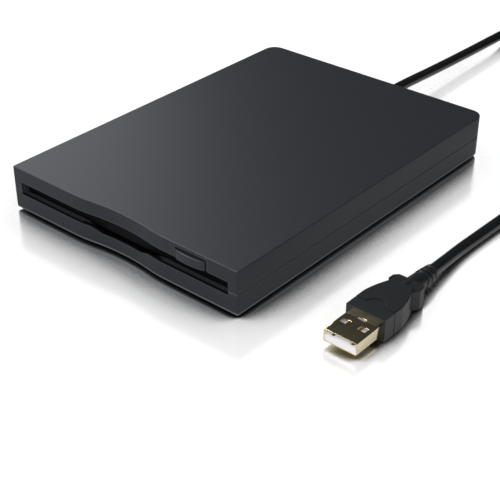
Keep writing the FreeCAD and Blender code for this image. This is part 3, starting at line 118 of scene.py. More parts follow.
lead_data = bpy.data.curves.new("usb_lead", "CURVE")
lead_data.dimensions = "3D"
lead_line = lead_data.splines.new("NURBS")
lead_route = REAR_RUN + tuple(coil_run) + FRONT_RUN
lead_line.points.add(len(lead_route) - 1)
for point, place in zip(lead_line.points, lead_route):
    point.co = (*(Vector(place) * MM), 1.0)
    point.radius = LEAD_RADIUS * MM
lead_line.order_u = 3
lead_line.use_endpoint_u = True
lead_line.resolution_u = 8
lead_data.bevel_depth = 1.0
lead_data.bevel_resolution = 6
lead_data.use_fill_caps = True
lead = bpy.data.objects.new("usb_lead", lead_data)
bpy.context.scene.collection.objects.link(lead)
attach(lead, "housing")
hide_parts("lead_rear", "lead_front", "lead_coil")


def linear(hex_text):
    """A colour written as sRGB hex, as the linear colour that a shader takes."""
    channels = [int(hex_text[i:i + 2], 16) / 255 for i in (1, 3, 5)]
    return tuple(c / 12.92 if c <= 0.04045 else ((c + 0.055) / 1.055) ** 2.4 for c in channels) + (1.0,)


def add_node(material, kind, options=(), values=(), links=()):
    """Adds one node: its own options, the values of its sockets, and what feeds them."""
    node = material.node_tree.nodes.new(kind)
    for name, value in dict(options).items():
        setattr(node, name, value)
    for name, value in dict(values).items():
        node.inputs[name].default_value = value
    for name, source in dict(links).items():
        material.node_tree.links.new(source, node.inputs[name])
    return node


def new_finish(name, colour, roughness, metallic=0.0, **more):
    """A material whose even values are set on the shader's own sockets."""
    material = bpy.data.materials.new(name)
    material.use_nodes = True
    shader = material.node_tree.nodes["Principled BSDF"]
    shader.inputs["Base Color"].default_value = linear(colour)
    shader.inputs["Roughness"].default_value = roughness
    shader.inputs["Metallic"].default_value = metallic
    for socket, value in more.items():
        shader.inputs[socket.replace("_", " ")].default_value = value
    return material, shader


def feed(material, shader, socket, source):
    """Joins a pattern to one socket of the shader."""
    material.node_tree.links.new(source, shader.inputs[socket])


def relief(material, shader, depth_mm, height):
    """Gives the surface a bump of that depth from a pattern."""
    bump = add_node(
        material, "ShaderNodeBump", values={"Distance": depth_mm * MM}, links={"Height": height})
    feed(material, shader, "Normal", bump.outputs["Normal"])


def vary_roughness(material, shader, low, high, factor):
    """Gives the surface one roughness where the factor is 0 and the other where it is 1."""
    spread = add_node(
        material, "ShaderNodeMapRange", values={"To Min": low, "To Max": high}, links={"Value": factor})
    feed(material, shader, "Roughness", spread.outputs["Result"])


def grain(material, shader, size_mm, depth_mm, rough_low, rough_high, drawn=(1.0, 1.0, 1.0)):
    """A grain of that size in the surface, drawn out along an axis: its bump and its roughness."""
    place = add_node(material, "ShaderNodeTexCoord")
    along = add_node(
        material, "ShaderNodeMapping", values={"Scale": drawn}, links={"Vector": place.outputs["Object"]})
    noise = add_node(
        material, "ShaderNodeTexNoise", values={"Scale": 1000 / size_mm, "Detail": 3.0},
        links={"Vector": along.outputs["Vector"]})
    relief(material, shader, depth_mm, noise.outputs["Fac"])
    vary_roughness(material, shader, rough_low, rough_high, noise.outputs["Fac"])
    return noise


def wear(finish, *node_names):
    """Gives a finish to CAD nodes."""
    for node_name in node_names:
        for place in nodes[node_name].material_slots:
            place.material = finish


cord_jacket, shader = new_finish("smooth_black_PVC_jacket", "#141517", 0.22)
grain(cord_jacket, shader, 1.2, 0.006, 0.18, 0.26)
lead_data.materials.append(cord_jacket)


# ---- Table and light: a glossy white table under one very wide soft lamp that lights only the table.
# A window on the left and four studio lamps round the drive light everything but the table.
bpy.ops.mesh.primitive_plane_add(size=8.0, location=(0, 0, 0))
floor = bpy.context.object
floor.name = "table_top"
table_white, shader = new_finish("glossy_white_table", "#f0f0f1", 0.2)
tree = table_white.node_tree
paths = add_node(table_white, "ShaderNodeLightPath")
bounced = add_node(
    table_white, "ShaderNodeMapRange", values={"To Min": 0.6, "To Max": 0.3},
    links={"Value": paths.outputs["Is Diffuse Ray"]})
feed(table_white, shader, "Base Color", bounced.outputs["Result"])
# close to the drive and its lead the table mirrors them, and further off it is a plain matt white
MIRROR_REACH = 0.06
near_things = add_node(
    table_white, "ShaderNodeAmbientOcclusion", {"samples": 16}, {"Distance": MIRROR_REACH})
open_part = add_node(
    table_white, "ShaderNodeMapRange", {"interpolation_type": "SMOOTHSTEP"},
    {"From Min": 0.53, "From Max": 0.80, "To Max": 0.8}, {"Value": near_things.outputs["AO"]})
seen_matt = add_node(table_white, "ShaderNodeBsdfDiffuse", values={"Color": (1.0, 1.0, 1.0, 1.0)})
seen_gloss = add_node(
    table_white, "ShaderNodeBsdfGlossy", values={"Color": (1.0, 1.0, 1.0, 1.0), "Roughness": 0.16})
seen = add_node(table_white, "ShaderNodeMixShader", links={"Fac": open_part.outputs["Result"]})
tree.links.new(seen_gloss.outputs[0], seen.inputs[1])
tree.links.new(seen_matt.outputs[0], seen.inputs[2])
either = add_node(table_white, "ShaderNodeMixShader", links={"Fac": paths.outputs["Is Camera Ray"]})
tree.links.new(shader.outputs[0], either.inputs[1])
tree.links.new(seen.outputs[0], either.inputs[2])
tree.links.new(either.outputs[0], tree.nodes["Material Output"].inputs["Surface"])
floor.data.materials.append(table_white)

room = bpy.data.worlds.new("bright_room")
bpy.context.scene.world = room
room.use_nodes = True
sky = room.node_tree.nodes["Background"]
sky.inputs["Color"].default_value = (1.0, 1.0, 1.0, 1.0)
paths = add_node(room, "ShaderNodeLightPath")
not_mirrored = add_node(
    room, "ShaderNodeMapRange", values={"To Min": 0.15, "To Max": 0.04},
    links={"Value": paths.outputs["Is Glossy Ray"]})
level = add_node(
    room, "ShaderNodeMix", values={"B": 1.0}, links={
        "Factor": paths.outputs["Is Camera Ray"], "A": not_mirrored.outputs["Result"]})
room.node_tree.links.new(level.outputs["Result"], sky.inputs["Strength"])

table_only = bpy.data.collections.new("lit_by_table_lamp")
table_only.objects.link(floor)
all_but_table = bpy.data.collections.new("lit_by_drive_lamps")
all_but_table.objects.link(floor)
all_but_table.collection_objects[0].light_linking.link_state = "EXCLUDE"
# each lamp's place, aim and width in metres, the brightness of its face, whether gloss shows it,
# and what it lights
for name, place, aim, width, brightness, mirrored, lit in (
        ("table_lamp", (0.4, 1.0, 1.0), (0.4, 1.0, 0.0), 7.0, 1.08, True, table_only),
        ("window", (-0.74, 0.35, 0.50), (0.0, 0.0, 0.0), 0.5, 2.45, True, all_but_table),
        ("key_lamp", (0.30, -0.48, 0.38), (0.0, 0.0, 0.0), 0.45, 8.4, False, all_but_table),
        ("front_softbox", (-0.55, -0.54, 0.64), (0.0, 0.0, 0.0), 0.35, 6.0, True, all_but_table),
        ("overhead_strip", (-0.55, -0.05, 0.83), (0.0, 0.0, 0.0), 0.35, 14.0, True, all_but_table),
        ("rear_fill", (-0.30, 0.80, 0.14), (0.0, 0.0, 0.0), 0.5, 7.0, False, all_but_table)):
    bpy.ops.object.light_add(type="AREA", location=place)
    lamp = bpy.context.object
    lamp.name = name
    lamp.data.shape = "SQUARE"
    lamp.data.size = width
    lamp.data.energy = brightness * math.pi * width ** 2
    lamp.rotation_mode = "QUATERNION"
    lamp.rotation_quaternion = (Vector(aim) - Vector(place)).to_track_quat("-Z", "Y")
    lamp.visible_camera = False
    lamp.visible_glossy = mirrored
    lamp.light_linking.receiver_collection = lit

bpy.context.scene.view_settings.view_transform = "Standard"


# ---- Covers: two thin shells injection-moulded in black ABS that meet in a fine joint all round.
# The mould is lightly textured, which gives a satin surface; the edges are painted paler as a painted
# highlight.
moulded_abs, shader = new_finish(
    "satin_black_ABS", "#202226", 0.41, Specular_IOR_Level=0.3, Specular_Tint=(0.82, 0.9, 1.0, 1.0))
grain(moulded_abs, shader, 0.6, 0.004, 0.37, 0.45)


def two_shades(material, shader, factor, first, second):
    """Gives the shader one colour where the factor is 0 and the other where it is 1."""
    shade = add_node(material, "ShaderNodeMix", {"data_type": "RGBA"}, links={"Factor": factor})
    shade.inputs[6].default_value = linear(first)
    shade.inputs[7].default_value = linear(second)
    feed(material, shader, "Base Color", shade.outputs[2])


def paint_edge_highlight(material, shader, plain, highlight_colour, reach_mm, low_edge_mm=None):
    """Paints a highlight on the outer edges of a moulding over that reach, and a painted reflection of the
    table along its low edge.
    """
    rounded = add_node(material, "ShaderNodeBevel", {"samples": 6}, {"Radius": reach_mm * MM})
    true = add_node(material, "ShaderNodeNewGeometry")
    agree = add_node(
        material, "ShaderNodeVectorMath", {"operation": "DOT_PRODUCT"},
        links={0: rounded.outputs["Normal"], 1: true.outputs["Normal"]})
    edge = add_node(
        material, "ShaderNodeMapRange", values={"From Min": 0.995, "From Max": 0.86},
        links={"Value": agree.outputs["Value"]})
    # corners that point inwards get no painted highlight
    open_side = add_node(
        material, "ShaderNodeAmbientOcclusion", {"samples": 8, "only_local": True}, {"Distance": 1.5 * MM})
    outer = add_node(
        material, "ShaderNodeMapRange", values={"From Min": 0.9, "From Max": 0.99, "To Max": 0.45},
        links={"Value": open_side.outputs["AO"]})
    highlight_part = add_node(
        material, "ShaderNodeMath", {"operation": "MULTIPLY"},
        links={0: edge.outputs["Result"], 1: outer.outputs["Result"]})
    # painted reflection of the white table: a pale band along the low edge of the moulding
    if low_edge_mm:
        place = add_node(material, "ShaderNodeTexCoord")
        axes = add_node(material, "ShaderNodeSeparateXYZ", links={"Vector": place.outputs["Object"]})
        facing = add_node(material, "ShaderNodeSeparateXYZ", links={"Vector": true.outputs["Normal"]})
        low = add_node(
            material, "ShaderNodeMapRange",
            values={"From Min": (low_edge_mm + 1.1) * MM, "From Max": (low_edge_mm + 0.7) * MM},
            links={"Value": axes.outputs["Z"]})
        upright = add_node(
            material, "ShaderNodeMapRange", values={"From Min": -0.9, "From Max": -0.7},
            links={"Value": facing.outputs["Z"]})
        table_reflection = add_node(
            material, "ShaderNodeMath", {"operation": "MULTIPLY"},
            links={0: low.outputs["Result"], 1: upright.outputs["Result"]})
        highlight_part = add_node(
            material, "ShaderNodeMath", {"operation": "MAXIMUM"},
            links={0: highlight_part.outputs["Value"], 1: table_reflection.outputs["Value"]})
    two_shades(material, shader, highlight_part.outputs["Value"], plain, highlight_colour)


# painted highlights on the covers' edges, and a painted reflection of the table along the lower cover's
# bottom edge
paint_edge_highlight(moulded_abs, shader, "#202226", "#5a5c60", 0.6, low_edge_mm=0.8)
wear(moulded_abs, "top_cover")

# the lower cover's upward faces, the lip and floor of the slot, are painted near-black as painted shade
lower_abs = moulded_abs.copy()
lower_abs.name = "satin_black_ABS_with_painted_shade_on_lip"
shader = lower_abs.node_tree.nodes["Principled BSDF"]
true = add_node(lower_abs, "ShaderNodeNewGeometry")
facing = add_node(lower_abs, "ShaderNodeSeparateXYZ", links={"Vector": true.outputs["Normal"]})
upward = add_node(
    lower_abs, "ShaderNodeMapRange", values={"From Min": 0.7, "From Max": 0.9},
    links={"Value": facing.outputs["Z"]})
lip_painted_shade = add_node(
    lower_abs, "ShaderNodeMix", {"data_type": "RGBA"},
    links={"Factor": upward.outputs["Result"], 6: shader.inputs["Base Color"].links[0].from_socket})
lip_painted_shade.inputs[7].default_value = linear("#0a0b0c")
feed(lower_abs, shader, "Base Color", lip_painted_shade.outputs[2])
wear(lower_abs, "bottom_cover")


# ---- Slot frame: moulded behind the slot, its sill level with the slot's lip, dipping at the notch.
# The same ABS, spark-eroded, and painted near-black as painted shade down in the dip where nobody sees it.
frame_abs, shader = new_finish("slot_frame_ABS_with_painted_shade_in_dip", "#202226", 0.41, Specular_IOR_Level=0.3)
grain(frame_abs, shader, 0.6, 0.004, 0.37, 0.45)
place = add_node(frame_abs, "ShaderNodeTexCoord")
axes = add_node(frame_abs, "ShaderNodeSeparateXYZ", links={"Vector": place.outputs["Object"]})
# below the sill the frame is painted near-black as painted shade
on_sill = add_node(
    frame_abs, "ShaderNodeMapRange", values={"From Min": 6.3 * MM, "From Max": 6.8 * MM},
    links={"Value": axes.outputs["Z"]})
two_shades(frame_abs, shader, on_sill.outputs["Result"], "#050506", "#26282c")
wear(frame_abs, "slot_bezel")


# ---- Dust flap: a thin moulded blade that hangs behind the slot and swings in as a disk enters.
# Black ABS, eroded all over and dull, and darkened further as painted shade, so that the slot looks empty
# and dark.
dull_abs, shader = new_finish("dull_black_ABS_darkened_as_painted_shade", "#060607", 0.6, Specular_IOR_Level=0.1)
grain(dull_abs, shader, 0.5, 0.006, 0.5, 0.6)
wear(dull_abs, "slot_flap")


# ---- Eject button: moulded in the covers' ABS and polished by thumbs on its curved face.
# It clips on the slide plate's tongue and pushes it in.
thumbed_abs, shader = new_finish(
    "thumb_polished_ABS", "#212327", 0.34, Specular_IOR_Level=0.35, Specular_Tint=(0.82, 0.9, 1.0, 1.0))
grain(thumbed_abs, shader, 0.5, 0.003, 0.3, 0.38)
# painted highlights on the button's edges
paint_edge_highlight(thumbed_abs, shader, "#212327", "#5b5d61", 0.4)
wear(thumbed_abs, "eject_button")


# ---- Light guide: clear acrylic, moulded with a tip that fills the slit in the front wall.
# Behind the slit it is dark, so that the unlit tip shows as a near-black line with a glint.
acrylic, shader = new_finish("clear_acrylic", "#c9d2c4", 0.06, Transmission_Weight=1.0, IOR=1.49)
grain(acrylic, shader, 0.4, 0.002, 0.04, 0.1)
wear(acrylic, "led_lens")


# ---- Feet: four discs cut from matt black rubber sheet and stuck in their recesses.
# Rubber scatters light evenly, and its pores hold a little dust.
foot_rubber, shader = new_finish("matt_black_rubber", "#1a1a1b", 0.85, Specular_IOR_Level=0.3)
pores = grain(foot_rubber, shader, 0.35, 0.02, 0.75, 0.95)
two_shades(foot_rubber, shader, pores.outputs["Fac"], "#141415", "#29292a")
wear(foot_rubber, "rubber_feet")


# ---- Screws: steel, cold-headed and roll-threaded, with pan heads, cross recesses and bright zinc.
# Two hold the covers together from under the rear feet, four hold the chassis to the lower cover.
zinc_plate, shader = new_finish("zinc_plated_steel", "#a3a6a8", 0.32, 1.0)
grain(zinc_plate, shader, 0.5, 0.004, 0.26, 0.42)


def start_piece(name, add, **sizes):
    """Adds a primitive by itself, named, with its scale in its mesh, and goes into edit mode."""
    if bpy.context.object and bpy.context.object.mode == "EDIT":
        bpy.ops.object.mode_set(mode="OBJECT")
    bpy.ops.object.select_all(action="DESELECT")
    add(**sizes)
    piece = bpy.context.object
    piece.name = name
    bpy.ops.object.transform_apply(location=True, rotation=True, scale=True)
    bpy.ops.object.mode_set(mode="EDIT")
    return piece


def pick(kind, test):
    """In edit mode, selects only the faces or edges whose middle (mm) and direction pass the test."""
    shape = bmesh.from_edit_mesh(bpy.context.object.data)
    bpy.ops.mesh.select_all(action="DESELECT")
    bpy.ops.mesh.select_mode(type="FACE" if kind == "faces" else "EDGE")
    for part in getattr(shape, kind):
        if kind == "faces":
            middle, along = part.calc_center_median(), part.normal
        else:
            ends = [point.co for point in part.verts]
            middle, along = (ends[0] + ends[1]) / 2, (ends[1] - ends[0]).normalized()
        if test(middle / MM, along):
            part.select_set(True)
    bmesh.update_edit_mesh(bpy.context.object.data)


def leave_selected(*pieces):
    """Leaves edit mode with only those pieces selected, the first one active."""
    if bpy.context.object and bpy.context.object.mode == "EDIT":
        bpy.ops.object.mode_set(mode="OBJECT")
    bpy.ops.object.select_all(action="DESELECT")
    for piece in pieces:
        piece.select_set(True)
    bpy.context.view_layer.objects.active = pieces[0]


def copy_piece(piece, name, shift=(0.0, 0.0, 0.0), turn=0.0, about=(0.0, 0.0)):
    """A copy with its own mesh, turned about an upright axis and shifted by millimetres."""
    leave_selected(piece)
    twin = bpy.data.objects.new(name, piece.data.copy())
    bpy.context.scene.collection.objects.link(twin)
    middle = Matrix.Translation(Vector((*about, 0.0)) * MM)
    twin.data.transform(
        Matrix.Translation(Vector(shift) * MM) @ middle @ Matrix.Rotation(turn, 4, "Z") @ middle.inverted())
    return twin


def settle(pieces, finish, body, slot, *stands_for):
    """Smooths modelled pieces, gives them their finish, and says what they ride on and replace."""
    for piece in pieces:
        leave_selected(piece)
        bpy.ops.object.mode_set(mode="EDIT")
        bpy.ops.mesh.select_all(action="SELECT")
        bpy.ops.mesh.normals_make_consistent(inside=False)
        # a long coil can come out of that inside out
        if bmesh.from_edit_mesh(piece.data).calc_volume(signed=True) < 0:
            bpy.ops.mesh.flip_normals()
        leave_selected(piece)
        bpy.ops.object.shade_smooth_by_angle(angle=math.radians(35))
        if finish:
            piece.data.materials.clear()
            piece.data.materials.append(finish)
        if body:
            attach(piece, body)
        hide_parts(*stands_for)


def make_screw(name, x, y, seat, head_radius, head_height, shank_radius, shank_length, way):
    """A pan-head screw on its seat: the shank goes up or down, the cross recess is cut in the head."""
    screw = start_piece(
        name, bpy.ops.mesh.primitive_cylinder_add, vertices=32, radius=head_radius * MM,
        depth=head_height * MM, location=(x * MM, y * MM, (seat - way * head_height / 2) * MM))
    pan_rounding = 0.3 * head_height
    pick("faces", lambda middle, along: along.z * way < -0.9)
    bpy.ops.mesh.bevel(offset=pan_rounding * MM, segments=3, affect="EDGES")
    pick("faces", lambda middle, along: along.z * way > 0.9)
    bpy.ops.mesh.inset(thickness=(head_radius - shank_radius) * MM)
    point, point_taper = 0.4, 0.6
    bpy.ops.mesh.extrude_region_move(
        TRANSFORM_OT_translate={"value": (0, 0, way * (shank_length - point) * MM)})
    bpy.ops.mesh.extrude_region_move(TRANSFORM_OT_translate={"value": (0, 0, way * point * MM)})
    bpy.ops.transform.resize(
        value=(point_taper, point_taper, 1.0),
        center_override=(x * MM, y * MM, (seat + way * shank_length) * MM))
    long, wide = 1.15 * head_radius * MM, 0.28 * head_radius * MM
    for size_x, size_y in ((long, wide), (wide, long)):
        blade = start_piece(
            "driver_blade", bpy.ops.mesh.primitive_cube_add, size=1.0,
            location=(x * MM, y * MM, (seat - way * head_height) * MM),
            scale=(size_x, size_y, head_height * MM))
        leave_selected(screw)
        recess = screw.modifiers.new("recess", "BOOLEAN")
        recess.operation, recess.object, recess.solver = "DIFFERENCE", blade, "EXACT"
        bpy.ops.object.modifier_apply(modifier="recess")
        bpy.data.objects.remove(blade)
    return screw


CASE_SCREW_X, CHASSIS_SCREW_X = 43.0, 44.0
CHASSIS_SCREWS_APART = 94.0
case_screw = make_screw(
    "case_screw_left", x=-CASE_SCREW_X, y=62.0, seat=2.5, head_radius=2.1, head_height=1.2,
    shank_radius=0.95, shank_length=11.5, way=1)
settle(
    [case_screw, copy_piece(case_screw, "case_screw_right", (2 * CASE_SCREW_X, 0.0, 0.0))],
    zinc_plate, "housing", "zinc_screw", "case_screws")
deck_screw = make_screw(
    "chassis_screw_1", x=-CHASSIS_SCREW_X, y=-46.0, seat=3.4, head_radius=1.7, head_height=0.9,
    shank_radius=0.8, shank_length=1.7, way=-1)
settle(
    [deck_screw, copy_piece(deck_screw, "chassis_screw_2", (2 * CHASSIS_SCREW_X, 0.0, 0.0)),
     copy_piece(deck_screw, "chassis_screw_3", (0.0, CHASSIS_SCREWS_APART, 0.0)),
     copy_piece(deck_screw, "chassis_screw_4", (2 * CHASSIS_SCREW_X, CHASSIS_SCREWS_APART, 0.0))],
    zinc_plate, "housing", "zinc_screw", "chassis_screws")


# ---- Chassis: tray, lid and motor bracket, pressed from hot-dip galvanised steel sheet.
# Galvanising leaves spangle, flat crystals a few millimetres wide that each shine a little apart.
galvanised, shader = new_finish("galvanised_steel_sheet", "#a7aaad", 0.4, 1.0)
place = add_node(galvanised, "ShaderNodeTexCoord")
SPANGLE_WIDTH = 4.0
spangle = add_node(
    galvanised, "ShaderNodeTexVoronoi", values={"Scale": 1000 / SPANGLE_WIDTH},
    links={"Vector": place.outputs["Object"]})
crystal = add_node(galvanised, "ShaderNodeSeparateColor", links={"Color": spangle.outputs["Color"]})
vary_roughness(galvanised, shader, 0.36, 0.46, crystal.outputs["Red"])
two_shades(galvanised, shader, crystal.outputs["Green"], "#a2a5a9", "#b1b4b6")
wear(galvanised, "chassis_deck", "drive_lid", "motor_bracket")


# ---- Moving sheet parts: cradle, slide plate and head arm, cut from cold-rolled strip, bright zinc.
# Rolling leaves fine lines along the strip, from front to back.
rolled_zinc, shader = new_finish("bright_zinc_on_rolled_strip", "#b4b6b8", 0.3, 1.0)
grain(rolled_zinc, shader, 0.5, 0.003, 0.22, 0.4, drawn=(1.0, 0.05, 1.0))
wear(rolled_zinc, "disk_cradle", "slide_plate", "head_arm")


# ---- Pins, rods and shafts: centreless-ground steel, nearly a mirror.
# The grinding wheel leaves very fine marks, drawn coarser here so that they show.
ground_steel, shader = new_finish("ground_steel", "#c3c5c8", 0.15, 1.0)
grain(ground_steel, shader, 0.2, 0.001, 0.1, 0.22)
wear(ground_steel, "cradle_pins", "guide_rod", "arm_pin", "lever_post", "spindle_shaft", "spindle_hub")


# ---- Slide springs: two tension springs of hard-drawn wire, 0.28 mm thick, coiled close.
# They hook on the lid and on the slide plate, and are oiled: dark grey with a soft shine.
spring_wire, shader = new_finish("oiled_spring_wire", "#777a7e", 0.3, 1.0)
grain(spring_wire, shader, 0.3, 0.001, 0.24, 0.38)


def wind_wire(name, wire_radius, sides, start, tilt, offset, axis, turn, pitch, turns, per_turn):
    """Sweeps a wire's round section along a helix about an axis through its start (mm)."""
    wire = start_piece(
        name, bpy.ops.mesh.primitive_circle_add, vertices=sides, radius=wire_radius * MM, rotation=tilt)
    bpy.ops.mesh.select_all(action="SELECT")
    bpy.ops.transform.translate(value=Vector(offset) * MM)
    bpy.ops.object.mode_set(mode="OBJECT")
    winding = wire.modifiers.new("winding", "SCREW")
    winding.axis, winding.angle, winding.screw_offset = axis, turn, pitch * MM
    winding.iterations, winding.steps, winding.render_steps = turns, per_turn, per_turn
    bpy.ops.object.modifier_apply(modifier="winding")
    bpy.ops.transform.translate(value=Vector(start) * MM)
    bpy.ops.object.transform_apply(location=True, rotation=True, scale=True)
    bpy.ops.object.mode_set(mode="EDIT")
    return wire


def bend_end(steps, angle, centre, axis):
    """Bends the selected end of a wire on, round a centre (mm)."""
    bpy.ops.mesh.spin(steps=steps, angle=angle, center=Vector(centre) * MM, axis=axis)


SPRING_X, SPRING_Z, SPRING_RADIUS = 30.0, 13.4, 0.66
SPRING_FRONT, SPRING_REAR = -38.2, -10.3
SPRING_LENGTH, SPRING_TURNS = 27.9, 87


def close_ends():
    """In edit mode, closes the two open ends of a wire."""
    bpy.ops.mesh.select_all(action="SELECT")
    bpy.ops.mesh.fill_holes(sides=0)


def shape_hook(end, way, root):
    """Bends a spring's end (mm) over into a straight leg with a turned-down tip."""
    leg_bend, tip_bend = 0.4, 0.35
    pick("edges", lambda middle, along: (
        abs(middle.y - end) < 0.15 and abs(middle.x - root.x) < 0.03 and middle.z > root.z + 0.4))
    bend_end(4, math.pi / 2, (root.x, end + way * leg_bend, root.z + SPRING_RADIUS), (0.0, 0.0, 1.0))
    leg = abs(end - root.y) - leg_bend - tip_bend
    bpy.ops.mesh.extrude_region_move(TRANSFORM_OT_translate={"value": (0.0, way * leg * MM, 0.0)})
    tip_centre = (root.x, root.y - way * tip_bend, root.z + SPRING_RADIUS - leg_bend)
    bend_end(3, way * math.pi / 3, tip_centre, (1.0, 0.0, 0.0))


spring = wind_wire(
    "slide_spring_left", wire_radius=0.14, sides=6, start=(-SPRING_X, SPRING_FRONT, SPRING_Z),
    tilt=(0.0, math.pi / 2, 0.0), offset=(0.0, 0.0, SPRING_RADIUS), axis="Y", turn=2 * math.pi,
    pitch=SPRING_LENGTH / SPRING_TURNS, turns=SPRING_TURNS, per_turn=10)
shape_hook(SPRING_FRONT, -1, Vector((-SPRING_X, -40.86, SPRING_Z)))
shape_hook(SPRING_REAR, 1, Vector((-SPRING_X, -7.9, SPRING_Z)))
close_ends()
slide_springs = [spring, copy_piece(spring, "slide_spring_right", (2 * SPRING_X, 0.0, 0.0))]
settle(slide_springs, spring_wire, "housing", "spring_steel", "slide_springs")
# each spring gets a mesh of its own. In the drive a spring closes up towards its front hook, on the lid, as
# the plate slides forward.
for x, spring in zip((-SPRING_X, SPRING_X), slide_springs):
    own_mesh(spring)


# ---- Spindle motor, fixed part: a board, an oil-filled bearing, a stator and its twelve windings.
# The board is glass fibre under green solder mask, glossy, with the tracks standing faintly in it.
def bands_of(pitch_mm):
    """The scale at which Blender's wave texture repeats after that many millimetres."""
    return 2 * math.pi * 1000 / (20 * pitch_mm)


TRACK_PITCH, TRACK_RUN, COPPER_HEIGHT = 1.0, 7.0, 0.035
solder_mask, shader = new_finish(
    "green_solder_mask", "#1f4a33", 0.28, Coat_Weight=0.4, Coat_Roughness=0.15)
place = add_node(solder_mask, "ShaderNodeTexCoord")
etched = add_node(
    solder_mask, "ShaderNodeTexWave", {"wave_profile": "SAW", "bands_direction": "Y"},
    {"Scale": bands_of(TRACK_PITCH)}, {"Vector": place.outputs["Object"]})
runs = add_node(
    solder_mask, "ShaderNodeTexVoronoi", {"distance": "CHEBYCHEV"}, {"Scale": 1000 / TRACK_RUN},
    {"Vector": place.outputs["Object"]})
run_shade = add_node(solder_mask, "ShaderNodeSeparateColor", links={"Color": runs.outputs["Color"]})
wide = add_node(
    solder_mask, "ShaderNodeMath", {"operation": "GREATER_THAN"}, {1: 0.6}, {0: etched.outputs["Fac"]})
there = add_node(
    solder_mask, "ShaderNodeMath", {"operation": "GREATER_THAN"}, {1: 0.4}, {0: run_shade.outputs["Red"]})
track = add_node(
    solder_mask, "ShaderNodeMath", {"operation": "MULTIPLY"},
    links={0: wide.outputs["Value"], 1: there.outputs["Value"]})
two_shades(solder_mask, shader, track.outputs["Value"], "#1f4a33", "#2f6a49")
relief(solder_mask, shader, COPPER_HEIGHT, track.outputs["Value"])
wear(solder_mask, "motor_board", "main_board")

# the bearing is bronze powder pressed and sintered, with open pores that hold oil
sintered_bronze, shader = new_finish("sintered_bronze", "#9c7a4a", 0.45, 1.0)
grain(sintered_bronze, shader, 0.15, 0.01, 0.35, 0.6)
wear(sintered_bronze, "spindle_bearing")

# the stator is a stack of silicon steel stampings, whose edges show as lines 0.35 mm apart
laminations, shader = new_finish("silicon_steel_laminations", "#6d7074", 0.4, 1.0)
place = add_node(laminations, "ShaderNodeTexCoord")
stack = add_node(
    laminations, "ShaderNodeTexWave", {"bands_direction": "Z"}, {"Scale": bands_of(0.35)},
    {"Vector": place.outputs["Object"]})
relief(laminations, shader, 0.05, stack.outputs["Fac"])
wear(laminations, "stator_core")

# the windings are enamelled copper wire, wound on each pole; the enamel gives a clear gloss. The
# wire shows as bands 0.2 mm apart, over ridges 1.2 mm apart that are much coarser than real turns.
SPINDLE_AXIS = (0.0, -20.0)
WIRE_PITCH = 0.2


def rings_about_spindle(material, pitch_mm, **more):
    """A pattern of rings about the spindle's axis, that far apart."""
    place = add_node(material, "ShaderNodeTexCoord")
    centred = add_node(
        material, "ShaderNodeMapping", values={"Location": (0.0, -SPINDLE_AXIS[1] * MM, 0.0)},
        links={"Vector": place.outputs["Object"]})
    return add_node(
        material, "ShaderNodeTexWave", {"wave_type": "RINGS", "rings_direction": "Z"},
        {"Scale": bands_of(pitch_mm), **more}, {"Vector": centred.outputs["Vector"]})


copper_wire, shader = new_finish(
    "enamelled_copper_wire", "#a8562c", 0.25, 1.0, Coat_Weight=0.5, Coat_Roughness=0.1)
turns_of_wire = rings_about_spindle(copper_wire, WIRE_PITCH)
relief(copper_wire, shader, 0.06, turns_of_wire.outputs["Fac"])
two_shades(copper_wire, shader, turns_of_wire.outputs["Fac"], "#7c3a1c", "#b9663a")


def cut_through(place, across):
    """In edit mode, cuts the whole piece's faces along the plane through that place (mm)."""
    bpy.ops.mesh.select_all(action="SELECT")
    bpy.ops.mesh.bisect(plane_co=[distance * MM for distance in place], plane_no=across)


def round_rims(piece, width_mm, sharper_than):
    """Rounds the edges of a piece that turn by more than that many degrees."""
    leave_selected(piece)
    rims = piece.modifiers.new("rims", "BEVEL")
    rims.width, rims.segments, rims.angle_limit = width_mm * MM, 2, math.radians(sharper_than)
    bpy.ops.object.modifier_apply(modifier="rims")


POLES = 12
WINDING_MIDDLE = (11.6 * MM, SPINDLE_AXIS[1] * MM, 4.75 * MM)
WINDING_INNER, RIDGE = 8.6, 0.6
winding = start_piece(
    "winding_01", bpy.ops.mesh.primitive_cube_add, size=1.0, location=WINDING_MIDDLE,
    scale=(6.0 * MM, 3.2 * MM, 1.1 * MM))
for cut in range(1, 10):
    cut_through((WINDING_INNER + cut * RIDGE, 0.0, 0.0), (1.0, 0.0, 0.0))
pick("edges", lambda middle, along: (
    abs(along.x) < 0.1 and round((middle.x - WINDING_INNER) / RIDGE) % 2 == 1))
bpy.ops.transform.resize(value=(1.0, 1.06, 1.09), center_override=WINDING_MIDDLE)
round_rims(winding, 0.12, 50)
windings = [winding]
for pole in range(1, POLES):
    turn = pole * 2 * math.pi / POLES
    windings.append(copy_piece(winding, "winding_%02d" % (pole + 1), turn=turn, about=SPINDLE_AXIS))
settle(windings, copper_wire, "housing", "copper_winding", "stator_coils")


# ---- Spindle motor, turning part: a drawn cup, nickel-plated, with the ring magnet bonded in it.
# The cup is turned true after drawing, which leaves fine rings about its axis.
nickel_cup, shader = new_finish("turned_nickel_plate", "#b9b5ab", 0.25, 1.0)
tool_marks = rings_about_spindle(nickel_cup, 0.5, Distortion=0.6, Detail=2.0)
relief(nickel_cup, shader, 0.004, tool_marks.outputs["Fac"])
vary_roughness(nickel_cup, shader, 0.2, 0.34, tool_marks.outputs["Fac"])
wear(nickel_cup, "spindle_rotor")

# the magnet is ferrite powder bonded in plastic: dark grey, faintly speckled
ferrite, shader = new_finish("bonded_ferrite", "#3a3a3c", 0.6)
specks = grain(ferrite, shader, 0.3, 0.008, 0.5, 0.7)
two_shades(ferrite, shader, specks.outputs["Fac"], "#2c2c2e", "#4a4a4c")
wear(ferrite, "rotor_magnet")


